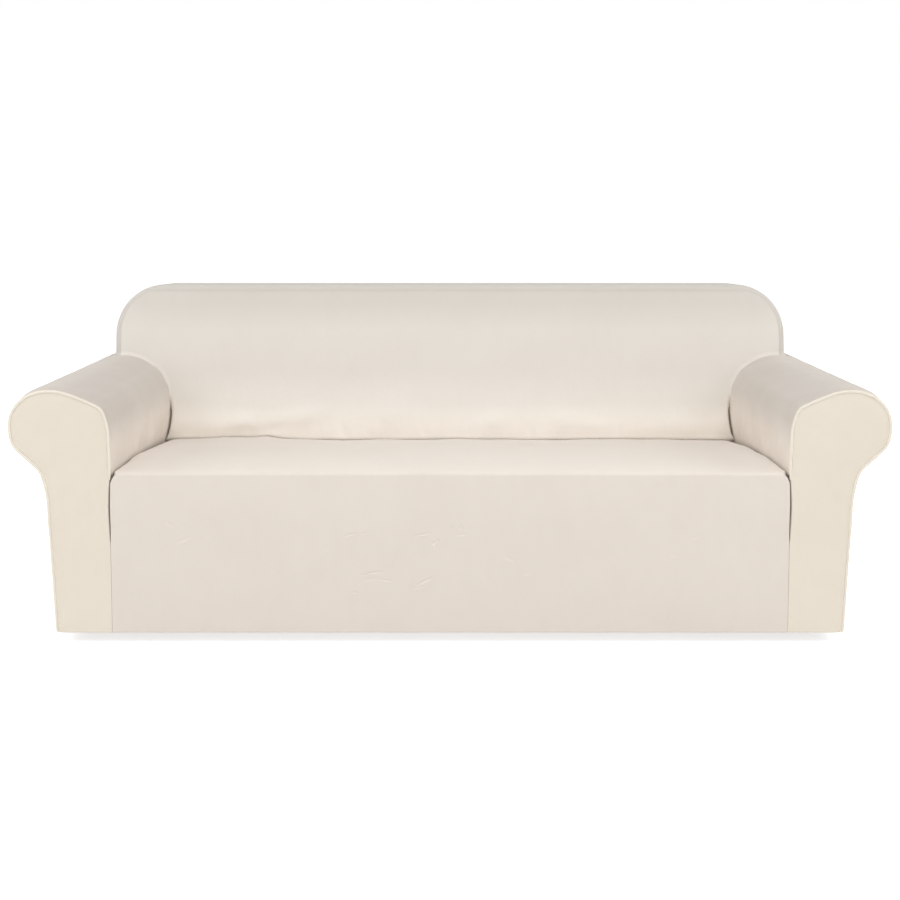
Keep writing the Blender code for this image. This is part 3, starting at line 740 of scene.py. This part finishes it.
# Low swells of the deck over the sofa's seat cushions, and creases pulled into the tucks.
DECK_SWELLS = (
    # name, across from the middle, behind the front, half width, half depth, turned, stands up
    ("rear left", -0.64, 0.6, 0.19, 0.15, 0, 0.0075),
    ("rear middle", 0.02, 0.56, 0.12, 0.09, 0, 0.0025),
    ("tuck lump", -0.566, 0.602, 0.026, 0.03, 0, 0.006),
    ("tuck dip", -0.455, 0.6, 0.06, 0.03, 0, -0.003),
    ("rear right", 0.52, 0.59, 0.16, 0.09, 0, 0.002),
    ("left tuck", -0.835, 0.47, 0.012, 0.08, -24, 0.0022),
    ("left tuck", -0.8, 0.5, 0.01, 0.07, -30, -0.002),
    ("left tuck", -0.812, 0.4, 0.01, 0.07, -16, -0.0018),
    ("left rear", -0.7, 0.56, 0.012, 0.04, -50, -0.0016),
    ("right tuck", 0.838, 0.455, 0.012, 0.08, 22, 0.002),
    ("right tuck", 0.806, 0.505, 0.01, 0.06, 32, -0.0018),
    ("right rear", 0.73, 0.565, 0.012, 0.04, 46, -0.0014),
    ("seam pull", -0.33, 0.575, 0.012, 0.028, 20, -0.0014),
    ("seam pull", 0.23, 0.575, 0.014, 0.03, -12, -0.0012),
)
SKIRT_SWELLS = (
    # name, across from the middle, above the hem, half width, half height, turned, stands out
    ("left corner", -0.815, 0.385, 0.07, 0.012, 38, 0.001),
    ("right corner", 0.82, 0.38, 0.07, 0.012, -36, 0.001),
    ("slack", -0.56, 0.09, 0.06, 0.08, 10, 0.0012),
    ("slack", 0.04, 0.08, 0.08, 0.08, -8, -0.0012),
    ("slack", 0.6, 0.1, 0.07, 0.08, 6, 0.0012),
)
SEAT_CURVE = smooth_curve(SEAT_PROFILE)


def seat_rows():
    """The rows of the panel from the rear tuck to the hem: depth, height, outward normal (back, up)."""
    last_depth, last_up = SEAT_PROFILE[-1][1:]
    tucked = last_depth + SEAT_REAR_TURN
    rows = [(tucked, up, 1.0, 0.0) for up in np.linspace(last_up - REAR_TUCK, last_up - SEAT_REAR_TURN, 5)]
    for a in np.radians(np.linspace(0, 90, 8))[1:-1]:
        depth = last_depth + SEAT_REAR_TURN * math.cos(a)
        rows.append((depth, last_up - SEAT_REAR_TURN * (1 - math.sin(a)), math.cos(a), math.sin(a)))
    for share in np.linspace(1.0, 0.0, 84):
        depth = SEAT_FOLD + (last_depth - SEAT_FOLD) * share**1.1
        rows.append((depth, float(np.interp(depth, *SEAT_CURVE.T)), 0.0, 1.0))
    for a in np.radians(np.linspace(90, 0, 9))[1:]:
        depth = SEAT_FOLD * (1 - math.cos(a))
        rows.append((depth, SEAT_HEIGHT - SEAT_FOLD * (1 - math.sin(a)), -math.cos(a), math.sin(a)))
    below = SEAT_HEIGHT - SEAT_FOLD
    rows += [(0.0, up, -1.0, 0.0) for up in np.linspace(below, HEM_TURN, 64)[1:]]
    return np.array(rows)


def seat_panel(name):
    """The deck and the skirt in one length of cloth, with its edges turned down into the tucks."""
    depth, up, outward_back, outward_up = seat_rows().T[:, :, None]
    on_skirt = np.maximum(0.0, -outward_back)
    into = ramp(depth, 0.0, 0.050) ** 0.7
    inner = outline_at(along_outline(up=up))
    inner[2], inner[3] = -1.0, 0.0
    corner = np.maximum(0.0, 1.0 - np.hypot(depth, up - SEAT_HEIGHT) / SEAT_CORNER_REACH) ** 1.5
    half = arm_surface(inner, depth)[..., 0] - SEAM_GAP - (TUCK_GAP - SEAM_GAP) * into
    half = half - SEAT_CORNER * corner - SLIT_OPENS * slit(up) * on_skirt
    half = half - REAR_INSET * np.maximum(0.0, outward_back)
    behind, widths, drops = measures(DECK_SIDES)
    skirt_turn = np.interp(up, *measures(SKIRT_SIDES)) * on_skirt
    width = np.interp(depth, behind, widths) * (1 - on_skirt) + skirt_turn
    drop = np.interp(depth, behind, drops) * (1 - on_skirt) + skirt_turn
    turns_down = np.where(outward_back < 0, outward_up, 1.0)

    a = np.radians(np.linspace(90, 0, 9))
    side_out = np.concatenate([[0.0, 0.0], 1 - np.sin(a)])
    side_down = np.concatenate([[1.0, 1.0], 1 - np.cos(a)])
    side_further = INTO_TUCK * np.concatenate([[1.0, 0.5], 0 * a])
    under_arm = UNDER_ARM * (1 - on_skirt) * ramp(depth, 0.0, 0.040)
    edge_out = half - width * side_out + under_arm * np.concatenate([[1.0, 0.25], 0 * a])
    edge_by = drop * side_down + side_further
    flat_out = (half - width) * np.linspace(-1.0, 1.0, 216)[1:-1]
    across = np.hstack([-edge_out, flat_out, edge_out[:, ::-1]])
    by = np.hstack([edge_by, 0 * flat_out, edge_by[:, ::-1]])

    stands = relief(DECK_SWELLS, across, depth) + 0.0010 * unevenness(across, depth, 0.19, 31)
    stands = stands * (1 - on_skirt)
    skirt_stands = relief(SKIRT_SWELLS, across, up) + 0.0008 * unevenness(across, up, 0.16, 32)
    level = ramp(np.abs(half) - np.abs(across), 0.0, 0.04) * ramp(up, SEAT_HEIGHT, SEAT_HEIGHT - 0.05)
    stands = stands + skirt_stands * level * on_skirt
    sheet_depth = depth + on_skirt * by + outward_back * np.where(outward_back < 0, stands, 0.0)
    sheet_up = up + turns_down * (stands - by)
    at_side = np.concatenate([side_down, np.zeros(flat_out.shape[1]), side_down[::-1]])
    below_back = at_side * ramp(sheet_up, *UNDER_BACK_UP[::-1]) * ramp(depth, *REAR_CORNER)
    sheet_depth = sheet_depth + UNDER_BACK * below_back
    sheet = together(across, sheet_depth, sheet_up)
    middle = across.shape[1] // 2
    from_hem = travelled(sheet[::-1, middle])[::-1]
    flat = together(across + np.sign(across) * by, from_hem[:, None])
    lower = cloth_of(sheet, flat, (0.0, -1.0, 0.0))[-1, len(side_out) - 1 : 1 - len(side_out)]
    grids = [(sheet, flat, True), edge(lower, 1, (0, -1), True, **HEM_FOLD)]
    return sewn(name, grids, SEAT_PLUSH)


# The seat's painted light and shade: distances from the hem up the skirt, over the front fold and back
# to the tuck, with shades. The skirt is painted a little darker, the deck lighter as a painted sheen,
# brightest just behind the front fold as a painted highlight, and darker again towards the tuck.
SEAT_PAINTED_LIGHT_AND_SHADE = (
    (0.000, 0.91), (0.300, 0.93), (0.427, 0.94), (0.442, 1.04),
    (0.500, 1.01), (0.700, 0.95), (1.050, 0.90),
)
# Creases left in the pile of the skirt where it was folded. Along each the colour is also painted
# lighter as a highlight, and the first dimple, whose depth is negative, is painted darker as shade.
SKIRT_CREASES_WITH_HIGHLIGHTS = (
    # name, out from the middle, above the hem, half length, half width, turned, depth
    ("upper left", -0.262, 0.271, 0.022, 0.0056, 16, 0.0038),
    ("upper left", -0.226, 0.275, 0.018, 0.005, 10, 0.004),
    ("upper", -0.068, 0.272, 0.029, 0.0056, 11, 0.0044),
    ("upper", -0.036, 0.252, 0.014, 0.0056, 34, 0.004),
    ("upper", -0.044, 0.246, 0.012, 0.0056, -40, 0.003),
    ("dimple", 0.006, 0.294, 0.011, 0.008, 0, -0.0014),
    ("dimple", 0.028, 0.29, 0.013, 0.0056, 44, 0.0034),
    ("upper right", 0.031, 0.271, 0.024, 0.0056, 4, 0.0028),
    ("lower left", -0.205, 0.166, 0.04, 0.0056, 10, 0.0044),
    ("lower left", -0.212, 0.147, 0.029, 0.0063, 14, 0.003),
    ("lower left", -0.172, 0.146, 0.026, 0.0056, -9, 0.0028),
    ("lower", -0.068, 0.143, 0.033, 0.0063, 27, 0.0048),
    ("lower", -0.082, 0.126, 0.02, 0.0056, 12, 0.0024),
    ("lowest", -0.25, 0.112, 0.013, 0.005, -12, 0.0028),
    ("far left", -0.735, 0.3, 0.022, 0.0063, -28, 0.002),
    ("far left", -0.7, 0.256, 0.029, 0.0063, 24, 0.002),
    ("right", 0.155, 0.205, 0.024, 0.0063, -22, 0.002),
    ("right", 0.205, 0.165, 0.02, 0.0063, 28, 0.002),
    ("far right", 0.64, 0.262, 0.029, 0.0063, 18, 0.002),
    ("far right", 0.59, 0.214, 0.024, 0.0063, -14, 0.0016),
)
SEAT_PLUSH = plush("plush knit on the seat", IVORY, IVORY_DEEP, SEAT_PAINTED_LIGHT_AND_SHADE, SKIRT_CREASES_WITH_HIGHLIGHTS)
panel = fitted(seat_panel("plush_seat_and_skirt"), "seat_panel")


# Inside back. One piece of plush covers the front of the sofa's back, flares forward on to both arms
# and turns over the sides and the crest to the seam with the outside back. Its lower edge is pushed
# down into the tuck behind the seat.

BACK_HEIGHT = 0.875
BACK_CORNER = 0.150  # radius of the two upper corners
CREST_FALL = 0.006  # how much lower the crest is at its rear seam than in front
BACK_FOOT = 0.368  # height of the lower edge, down in the tuck
TUCK_UP = 0.405  # and of where it starts to turn beside the arms
DECK_LINE = 0.598  # the depth of the deck along the tuck
FACE_CUT, RIM_CUT, FEET_CUT = 1.5, 2.6, 3.2  # where the panel's parts lie on its cut
TURNS = np.radians(np.linspace(0, 90, 10))  # the steps of a quarter turn
# Low swells along the bottom of the inside back, above the tuck, and creases that run up from it.
BACK_SWELLS = (
    # name, across from the middle, above the hem, half width, half height, turned, stands out
    ("far left", -0.74, 0.452, 0.07, 0.03, 0, 0.004),
    ("left", -0.64, 0.462, 0.045, 0.022, 8, 0.0065),
    ("left", -0.455, 0.48, 0.075, 0.026, 14, 0.007),
    ("mid left", -0.17, 0.49, 0.065, 0.045, 0, 0.006),
    ("middle", 0.13, 0.462, 0.04, 0.028, 24, 0.006),
    ("mid right", 0.345, 0.466, 0.035, 0.034, 0, 0.006),
    ("mid right", 0.43, 0.455, 0.05, 0.024, -10, 0.0035),
    ("far right", 0.7, 0.452, 0.08, 0.03, 0, 0.004),
    ("hollow below", -0.545, 0.44, 0.045, 0.014, 16, -0.0032),
    ("left arm", -0.8, 0.5, 0.012, 0.06, -38, -0.0016),
    ("right arm", 0.8, 0.505, 0.012, 0.06, 40, -0.0016),
    ("pucker", -0.62, 0.432, 0.012, 0.022, 10, -0.002),
    ("pucker", -0.455, 0.43, 0.01, 0.024, -14, -0.002),
    ("pucker", -0.33, 0.434, 0.012, 0.028, 20, -0.0022),
    ("pucker", -0.235, 0.436, 0.01, 0.024, -10, 0.0018),
    ("pucker", -0.08, 0.436, 0.01, 0.026, 12, -0.0018),
    ("pucker", 0.06, 0.432, 0.01, 0.024, -16, -0.0016),
    ("pucker", 0.25, 0.432, 0.011, 0.024, 8, -0.0016),
    ("pucker", 0.52, 0.43, 0.011, 0.022, -10, -0.0014),
    ("hollow above", -0.35, 0.56, 0.2, 0.05, 0, -0.0018),
    ("hollow above", 0.25, 0.545, 0.22, 0.05, 0, -0.0018),
)


def back_face(out, up):
    """The depth of the inside back at a place, with its swells."""
    calm = ramp(np.abs(out), CORNER_OUT, CORNER_OUT - 0.10)
    swells = relief(BACK_SWELLS, out, up) + 0.0010 * calm * unevenness(out, up, 0.22, 41)
    on_deck = relief(DECK_SWELLS, out, DECK_LINE) * ramp(up, 0.500, 0.440)
    return back_depth(up - on_deck) - swells


def back_rim():
    """Where the flat of the back ends on the right, from the roll up the side and round the corner to
    the crest: out, height, normal out, normal up, and the angle at which the turn over the rim starts."""
    side_up = np.linspace(STANDING_UP, BACK_HEIGHT - BACK_CORNER, 9)[:-1]
    rows = [(CORNER_OUT, up, 1.0, 0.0, 0.0) for up in side_up]
    for a in np.radians(np.linspace(0, 90, 25)):
        height = BACK_HEIGHT - BACK_CORNER + BACK_CORNER * math.sin(a)
        slope = (back_depth(height) - back_depth(height - 0.04)) / 0.04
        tilt = math.atan(slope * math.sin(a))
        reach = BACK_CORNER - BACK_EDGE * (1 - math.sin(tilt))
        out = BACK_HALF_WIDTH - BACK_CORNER + reach * math.cos(a)
        rows.append((out, BACK_HEIGHT - BACK_CORNER + reach * math.sin(a), math.cos(a), math.sin(a), tilt))
    return np.array(rows)


def beside_arm():
    """The panel's line along a padded arm, from the tuck up to the top of the roll: heights, the arm's
    normals, the places on the arm, and how far out of them the flat of the back ends."""
    low = outline_at(along_outline(up=np.linspace(TUCK_UP, WELT_START, 13)[:-1]))
    beside = np.hstack([low, outline_at(BESIDE_BACK)])
    beside[2:, -1] = 0.0, 1.0
    up, normal = beside[1], beside[2:].T
    foot = arm_surface(beside, SEAT_DEPTH)
    foot[:, ::2] += normal * np.maximum(SEAM_GAP * crevice(up), crevice_gap(up))[:, None]
    reach = flare(up) + FLARE_RISE * ramp(foot[:, 0], FLARE_RISES, CORNER_OUT) ** 2
    return up, normal, foot, reach[:, None]


def back_flares(sign, up, normal, foot, reach):
    """The turns beside an arm, back into the crevice and further up forward on to the roll: places,
    flat places and the outward normals of their last edge."""
    gapes = crevice(up)[:, None]
    bend = math.pi * (gapes - 0.5)
    bend = np.where(np.abs(bend) < 0.02, 0.02, bend)
    turned = bend * np.linspace(0.0, 1.0, len(TURNS))
    onward = CREVICE_DEPTH * gapes * np.linspace(0.0, 1.0, 5)[1:]
    lift = np.hstack([reach * (1 - np.sin(turned) / np.sin(bend)), -onward * np.cos(bend)])
    deep = flare(up)[:, None] * (1 - np.cos(turned)) / np.sin(bend)
    deep = np.hstack([deep, deep[:, -1:] + onward * np.sin(bend)])
    out, height = (foot[:, ::2] + normal * reach).T
    ahead = back_face(sign * out, height)[:, None] + deep
    places = together(foot[:, :1] + normal[:, :1] * lift, ahead, foot[:, 2:] + normal[:, 1:] * lift)
    cut = together(places[..., 0] + np.abs(deep), FACE_CUT + places[..., 2])
    off_arm = together(normal[:, 0], 0.0, normal[:, 1])
    return places, cut, -np.sin(bend) * off_arm - np.cos(bend) * (0.0, 1.0, 0.0)


def back_flat(flat_edge, rim):
    """The flat of the back, from its lower edge in the tuck up to the crest."""
    side = np.vstack([flat_edge[:-1], rim[:, :2]])
    down = np.linspace(BACK_FOOT, side[0, 1], 8)[:-1]
    side = np.vstack([together(side[0, 0], down), side])
    across, up = side[:, :1] * np.linspace(-1.0, 1.0, 232), side[:, 1:]
    face = together(across, back_face(across, up), up)
    return face, face[..., ::2] + (0.0, FACE_CUT), False


def over_rim(rims):
    """The turn over the sides and the crest, and straight back to the turn at the rear seam."""
    face, tilt = back_face(rims[:, 0], rims[:, 1])[:, None], rims[:, 4:]
    arc = tilt + (math.pi / 2 - tilt) * np.linspace(0.0, 1.0, len(TURNS))
    run = np.linspace(0.0, 1.0, 20)[1:]
    over = BACK_EDGE * np.hstack([np.sin(arc) - np.sin(tilt), 1 - np.sin(tilt) + 0 * run])
    starts = face + BACK_EDGE * np.cos(tilt)
    depth = np.hstack([starts - BACK_EDGE * np.cos(arc), starts + (REAR_SEAM - starts) * run])
    fall = CREST_FALL * np.concatenate([0 * TURNS, run])
    return together(rims[:, :1] + rims[:, 2:3] * over, depth, rims[:, 1:2] + rims[:, 3:4] * (over - fall))


def feet_on_roll(start):
    """The turn on to the roll below a side of the back, from its seam up to the line where it starts."""
    swing = np.concatenate([TURNS, np.full(len(start) - len(TURNS), math.pi / 2)])
    feet = []
    for a in TURNS[:0:-1]:
        spread = ROLL_FLARE * (1 - math.cos(a))
        out = start[:, 0] + spread * np.sin(swing)
        up = roll_top(out) + (ROLL_FLARE + FLARE_RISE) * (1 - math.sin(a))
        feet.append(together(out, start[:, 1] - spread * np.cos(swing), up))
    return np.array([*feet, start])


def back_panel(name):
    """The inside back: its flat, its turn over the rim, and its turns beside and on each arm."""
    beside = beside_arm()
    _, normal, foot, reach = beside
    rim = back_rim()
    flat = back_flat(foot[:, ::2] + normal * reach, rim)
    crest = np.tile(rim[-1], (flat[0].shape[1], 1))
    crest[:, 0] = flat[0][-1, ::-1, 0]
    rims = np.vstack([rim[:-1], crest, (rim * (-1, 1, -1, 1, 1))[::-1][1:]])
    turn = over_rim(rims)
    lengths, around = travelled(turn[len(rims) // 2]), travelled(turn[:, 0])
    turn_cut = together(around[:, None], RIM_CUT + lengths)
    grids = [flat, (turn, turn_cut, False)]
    rear_edge = [np.hstack([turn[:, -1], turn_cut[:, -1], rims[:, (2, 4, 3)] * (1, 0, 1)])]
    upright = together(np.cos(TURNS), 0.0, np.sin(TURNS))[::-1]
    for sign in (1, -1):
        mirror = np.array([sign, 1.0, 1.0])
        feet = feet_on_roll(turn[0] if sign > 0 else turn[-1] * mirror)
        feet_cut = together(lengths, FEET_CUT + feet[..., 2])
        flares, flares_cut, off_arm = back_flares(sign, *beside)
        off_roll = np.broadcast_to((0.0, 0.0, 1.0), feet[0].shape)
        along_arm = np.hstack([flares[:, -1], flares_cut[:, -1], off_arm])[:-1]
        seam = np.vstack([along_arm, np.hstack([feet[0], feet_cut[0], off_roll])])
        strip, strip_cut, _ = edge(seam, 1, (1, 0), False)
        grids.append((feet * mirror, feet_cut, sign < 0))
        grids.append((flares * mirror, flares_cut, sign < 0))
        grids.append((strip * mirror, strip_cut, sign > 0))
        behind = np.hstack([feet[:, -1] * mirror, feet_cut[:, -1], upright * mirror])[:-1]
        rear_edge = [behind, *rear_edge] if sign > 0 else [*rear_edge, behind[::-1]]
    grids.append(edge(np.vstack(rear_edge), 1, (0, 1), True))
    return sewn(name, grids, BACK_PLUSH)


# The inside back's painted light and shade: places up the cut, from the lower edge up to the crest and
# on over it, with shades. It is painted lighter low down, against the shade in the corner above the
# seat, and darker towards the crest and over it, where less light falls.
BACK_PAINTED_LIGHT_AND_SHADE = (
    (1.860, 1.28), (1.930, 1.24), (1.960, 1.17), (2.020, 1.02), (2.120, 0.94),
    (2.240, 0.915), (2.320, 0.815), (2.360, 0.80), (2.378, 0.755), (3.900, 0.755),
)
BACK_PLUSH = plush("plush knit on the back", (0.736, 0.696, 0.640), (0.700, 0.656, 0.598), BACK_PAINTED_LIGHT_AND_SHADE)
panel = fitted(back_panel("plush_inside_back"), "back_panel")


# Outside back. One flat piece of plush closes the back of the cover, from the crest to the hem and
# across the rear ends of both arms.

REAR_FACE = 0.0025  # how far behind the seams the panel's outer side lies, at its edges
REAR_DIP = 0.0015  # and how much less in its middle
REAR_ALLOWANCE = 0.0003  # cloth past its turn, which lies against the side pieces


def rear_outline():
    """The right half of the rear seam, from the hem up: out, height, normal out, normal up."""
    over = np.linspace(ARM_TRAVELLED[-1] - HEM_TURN, NOTCH_PLACE, 84)
    places = outline_at(over)
    arm = arm_surface(places, DEPTH)
    rows = list(np.column_stack([arm[:, 0], arm[:, 2], places[2], places[3]]))
    for a in np.radians(np.linspace(90, 0, 8))[1:]:
        out = BACK_HALF_WIDTH + ROLL_FLARE * (1 - math.cos(a))
        up = roll_top(out) + (ROLL_FLARE + FLARE_RISE) * (1 - math.sin(a))
        rows.append((out, up, math.cos(a), math.sin(a)))
    for out, up, normal_out, normal_up, tilt in back_rim()[1:]:
        turn = BACK_EDGE * (1 - math.sin(tilt))
        rows.append((out + normal_out * turn, up + normal_up * (turn - CREST_FALL), normal_out, normal_up))
    return np.array(rows, float)


def rear_panel(name):
    """The flat outside back, spread between its two sides, with its edges rounded to the seam."""
    half = rear_outline()
    half[:, :2] -= half[:, 2:] * HEM_TURN
    across = half[:, :1] * np.linspace(-1.0, 1.0, 150)
    up = half[:, 1:2] + 0 * across
    calm = ramp(half[:, :1] - np.abs(across), 0.0, 0.06) * ramp(up, BACK_HEIGHT, BACK_HEIGHT - 0.08)
    stands = (0.0012 * unevenness(across, up, 0.30, 51) - REAR_DIP) * calm
    sheet = together(across, DEPTH + REAR_FACE + stands, up)
    cloth = cloth_of(sheet, sheet[..., ::2], (0.0, 1.0, 0.0))
    around = np.vstack([cloth[:-1, -1], cloth[-1, ::-1], cloth[::-1, 0][1:]])
    crest = np.broadcast_to((0.0, 1.0), (sheet.shape[1], 2))
    normals = np.vstack([half[:-1, 2:], crest, (half[:, 2:] * (-1, 1))[::-1][1:]])
    off = together(normals[:, 0], 0.0, normals[:, 1])
    grids = [
        (sheet, sheet[..., ::2], True),
        edge(around, off, (0, 1), False, HEM_TURN, REAR_ALLOWANCE),
        edge(cloth[0], -1, (0, -1), False, **HEM_FOLD),
    ]
    return sewn(name, grids, REAR_PLUSH)


REAR_PLUSH = plush("plush knit on the rear", IVORY, IVORY_DEEP)
panel = fitted(rear_panel("plush_outside_back"), "rear_panel")


# The studio: a pale floor, a pale surround that is a little brighter overhead, broad soft lights in
# front, overhead and at both sides, and the camera before the middle of the sofa at standing height.

FLOOR_BELOW_HEM = 0.028
EYE_AHEAD = 2.97
EYE_UP = 1.118
EYE_TILT = 11.778
bpy.ops.object.select_all(action="DESELECT")
bpy.ops.mesh.primitive_plane_add(size=60.0, location=(0.0, 0.0, HEM - FLOOR_BELOW_HEM))
floor = bpy.context.object
floor.name = "floor"
paint = bpy.data.materials.new("pale floor")
paint.use_nodes = True
floor.data.materials.append(paint)
bare = Socket(paint.node_tree)
looked_at = bare.add("ShaderNodeLightPath", output="Is Camera Ray")
finish = {
    "Base Color": (0.80, 0.80, 0.80, 1.0),
    "Roughness": 0.9,
    "Specular IOR Level": 0.1,
    "Emission Color": bare.mixed(looked_at, (0.22, 0.22, 0.22), (0.66, 0.66, 0.66)),
    "Emission Strength": 1.0,
}
bare.fill(paint.node_tree.nodes["Principled BSDF"], finish)

world = bpy.data.worlds.new("studio")
world.use_nodes = True
bpy.context.scene.world = world
surround = Socket(world.node_tree)
direction = surround.add("ShaderNodeTexCoord", output="Generated")
rise = surround.add("ShaderNodeSeparateXYZ", inputs={"Vector": direction}, output="Z")
overhead = surround.add("ShaderNodeMapRange", inputs={"Value": rise, "From Min": 0.0, "From Max": 1.0})
shade = surround.mixed(overhead, (0.47, 0.47, 0.47), (0.56, 0.56, 0.56))
lighting = surround.add("ShaderNodeBackground", inputs={"Color": shade})
seen = surround.add("ShaderNodeBackground", inputs={"Color": (1.0, 1.0, 1.0, 1.0)})
to_camera = surround.add("ShaderNodeLightPath", output="Is Camera Ray")
both = surround.add("ShaderNodeMixShader", inputs={0: to_camera, 1: lighting, 2: seen})
surround.fill(world.node_tree.nodes["World Output"], {"Surface": both})

SOFTBOXES = (
    # name, out, ahead of the front, above the hem, tilt from straight down, turn, width, height, power
    ("front softbox", 0.0, 3.9, 1.25, 84, 0, 4.2, 2.2, 41.0),
    ("overhead softbox", 0.0, 0.9, 3.4, 22, 0, 4.2, 2.2, 54.0),
    ("left softbox", -2.4, 0.1, 1.4, 74, -90, 2.0, 1.4, 14.0),
    ("right softbox", 2.4, 0.1, 1.4, 74, 90, 2.0, 1.4, 14.0),
)
for name, out, ahead, up, tilt, turn, width, height, power in SOFTBOXES:
    softbox = bpy.data.lights.new(name, "AREA")
    softbox.shape = "RECTANGLE"
    softbox.size, softbox.size_y = width, height
    softbox.energy = power
    placed(name, softbox, (out, FRONT - ahead, HEM + up), (tilt, 0.0, turn))

lens = bpy.data.cameras.new("camera")
lens.lens, lens.sensor_width = 47.0, 36.0
camera = placed("camera", lens, (0.0, FRONT - EYE_AHEAD, HEM + EYE_UP), (90.0 - EYE_TILT, 0.0, 0.0))
bpy.context.scene.camera = camera
bpy.context.scene.view_settings.view_transform = "Standard"
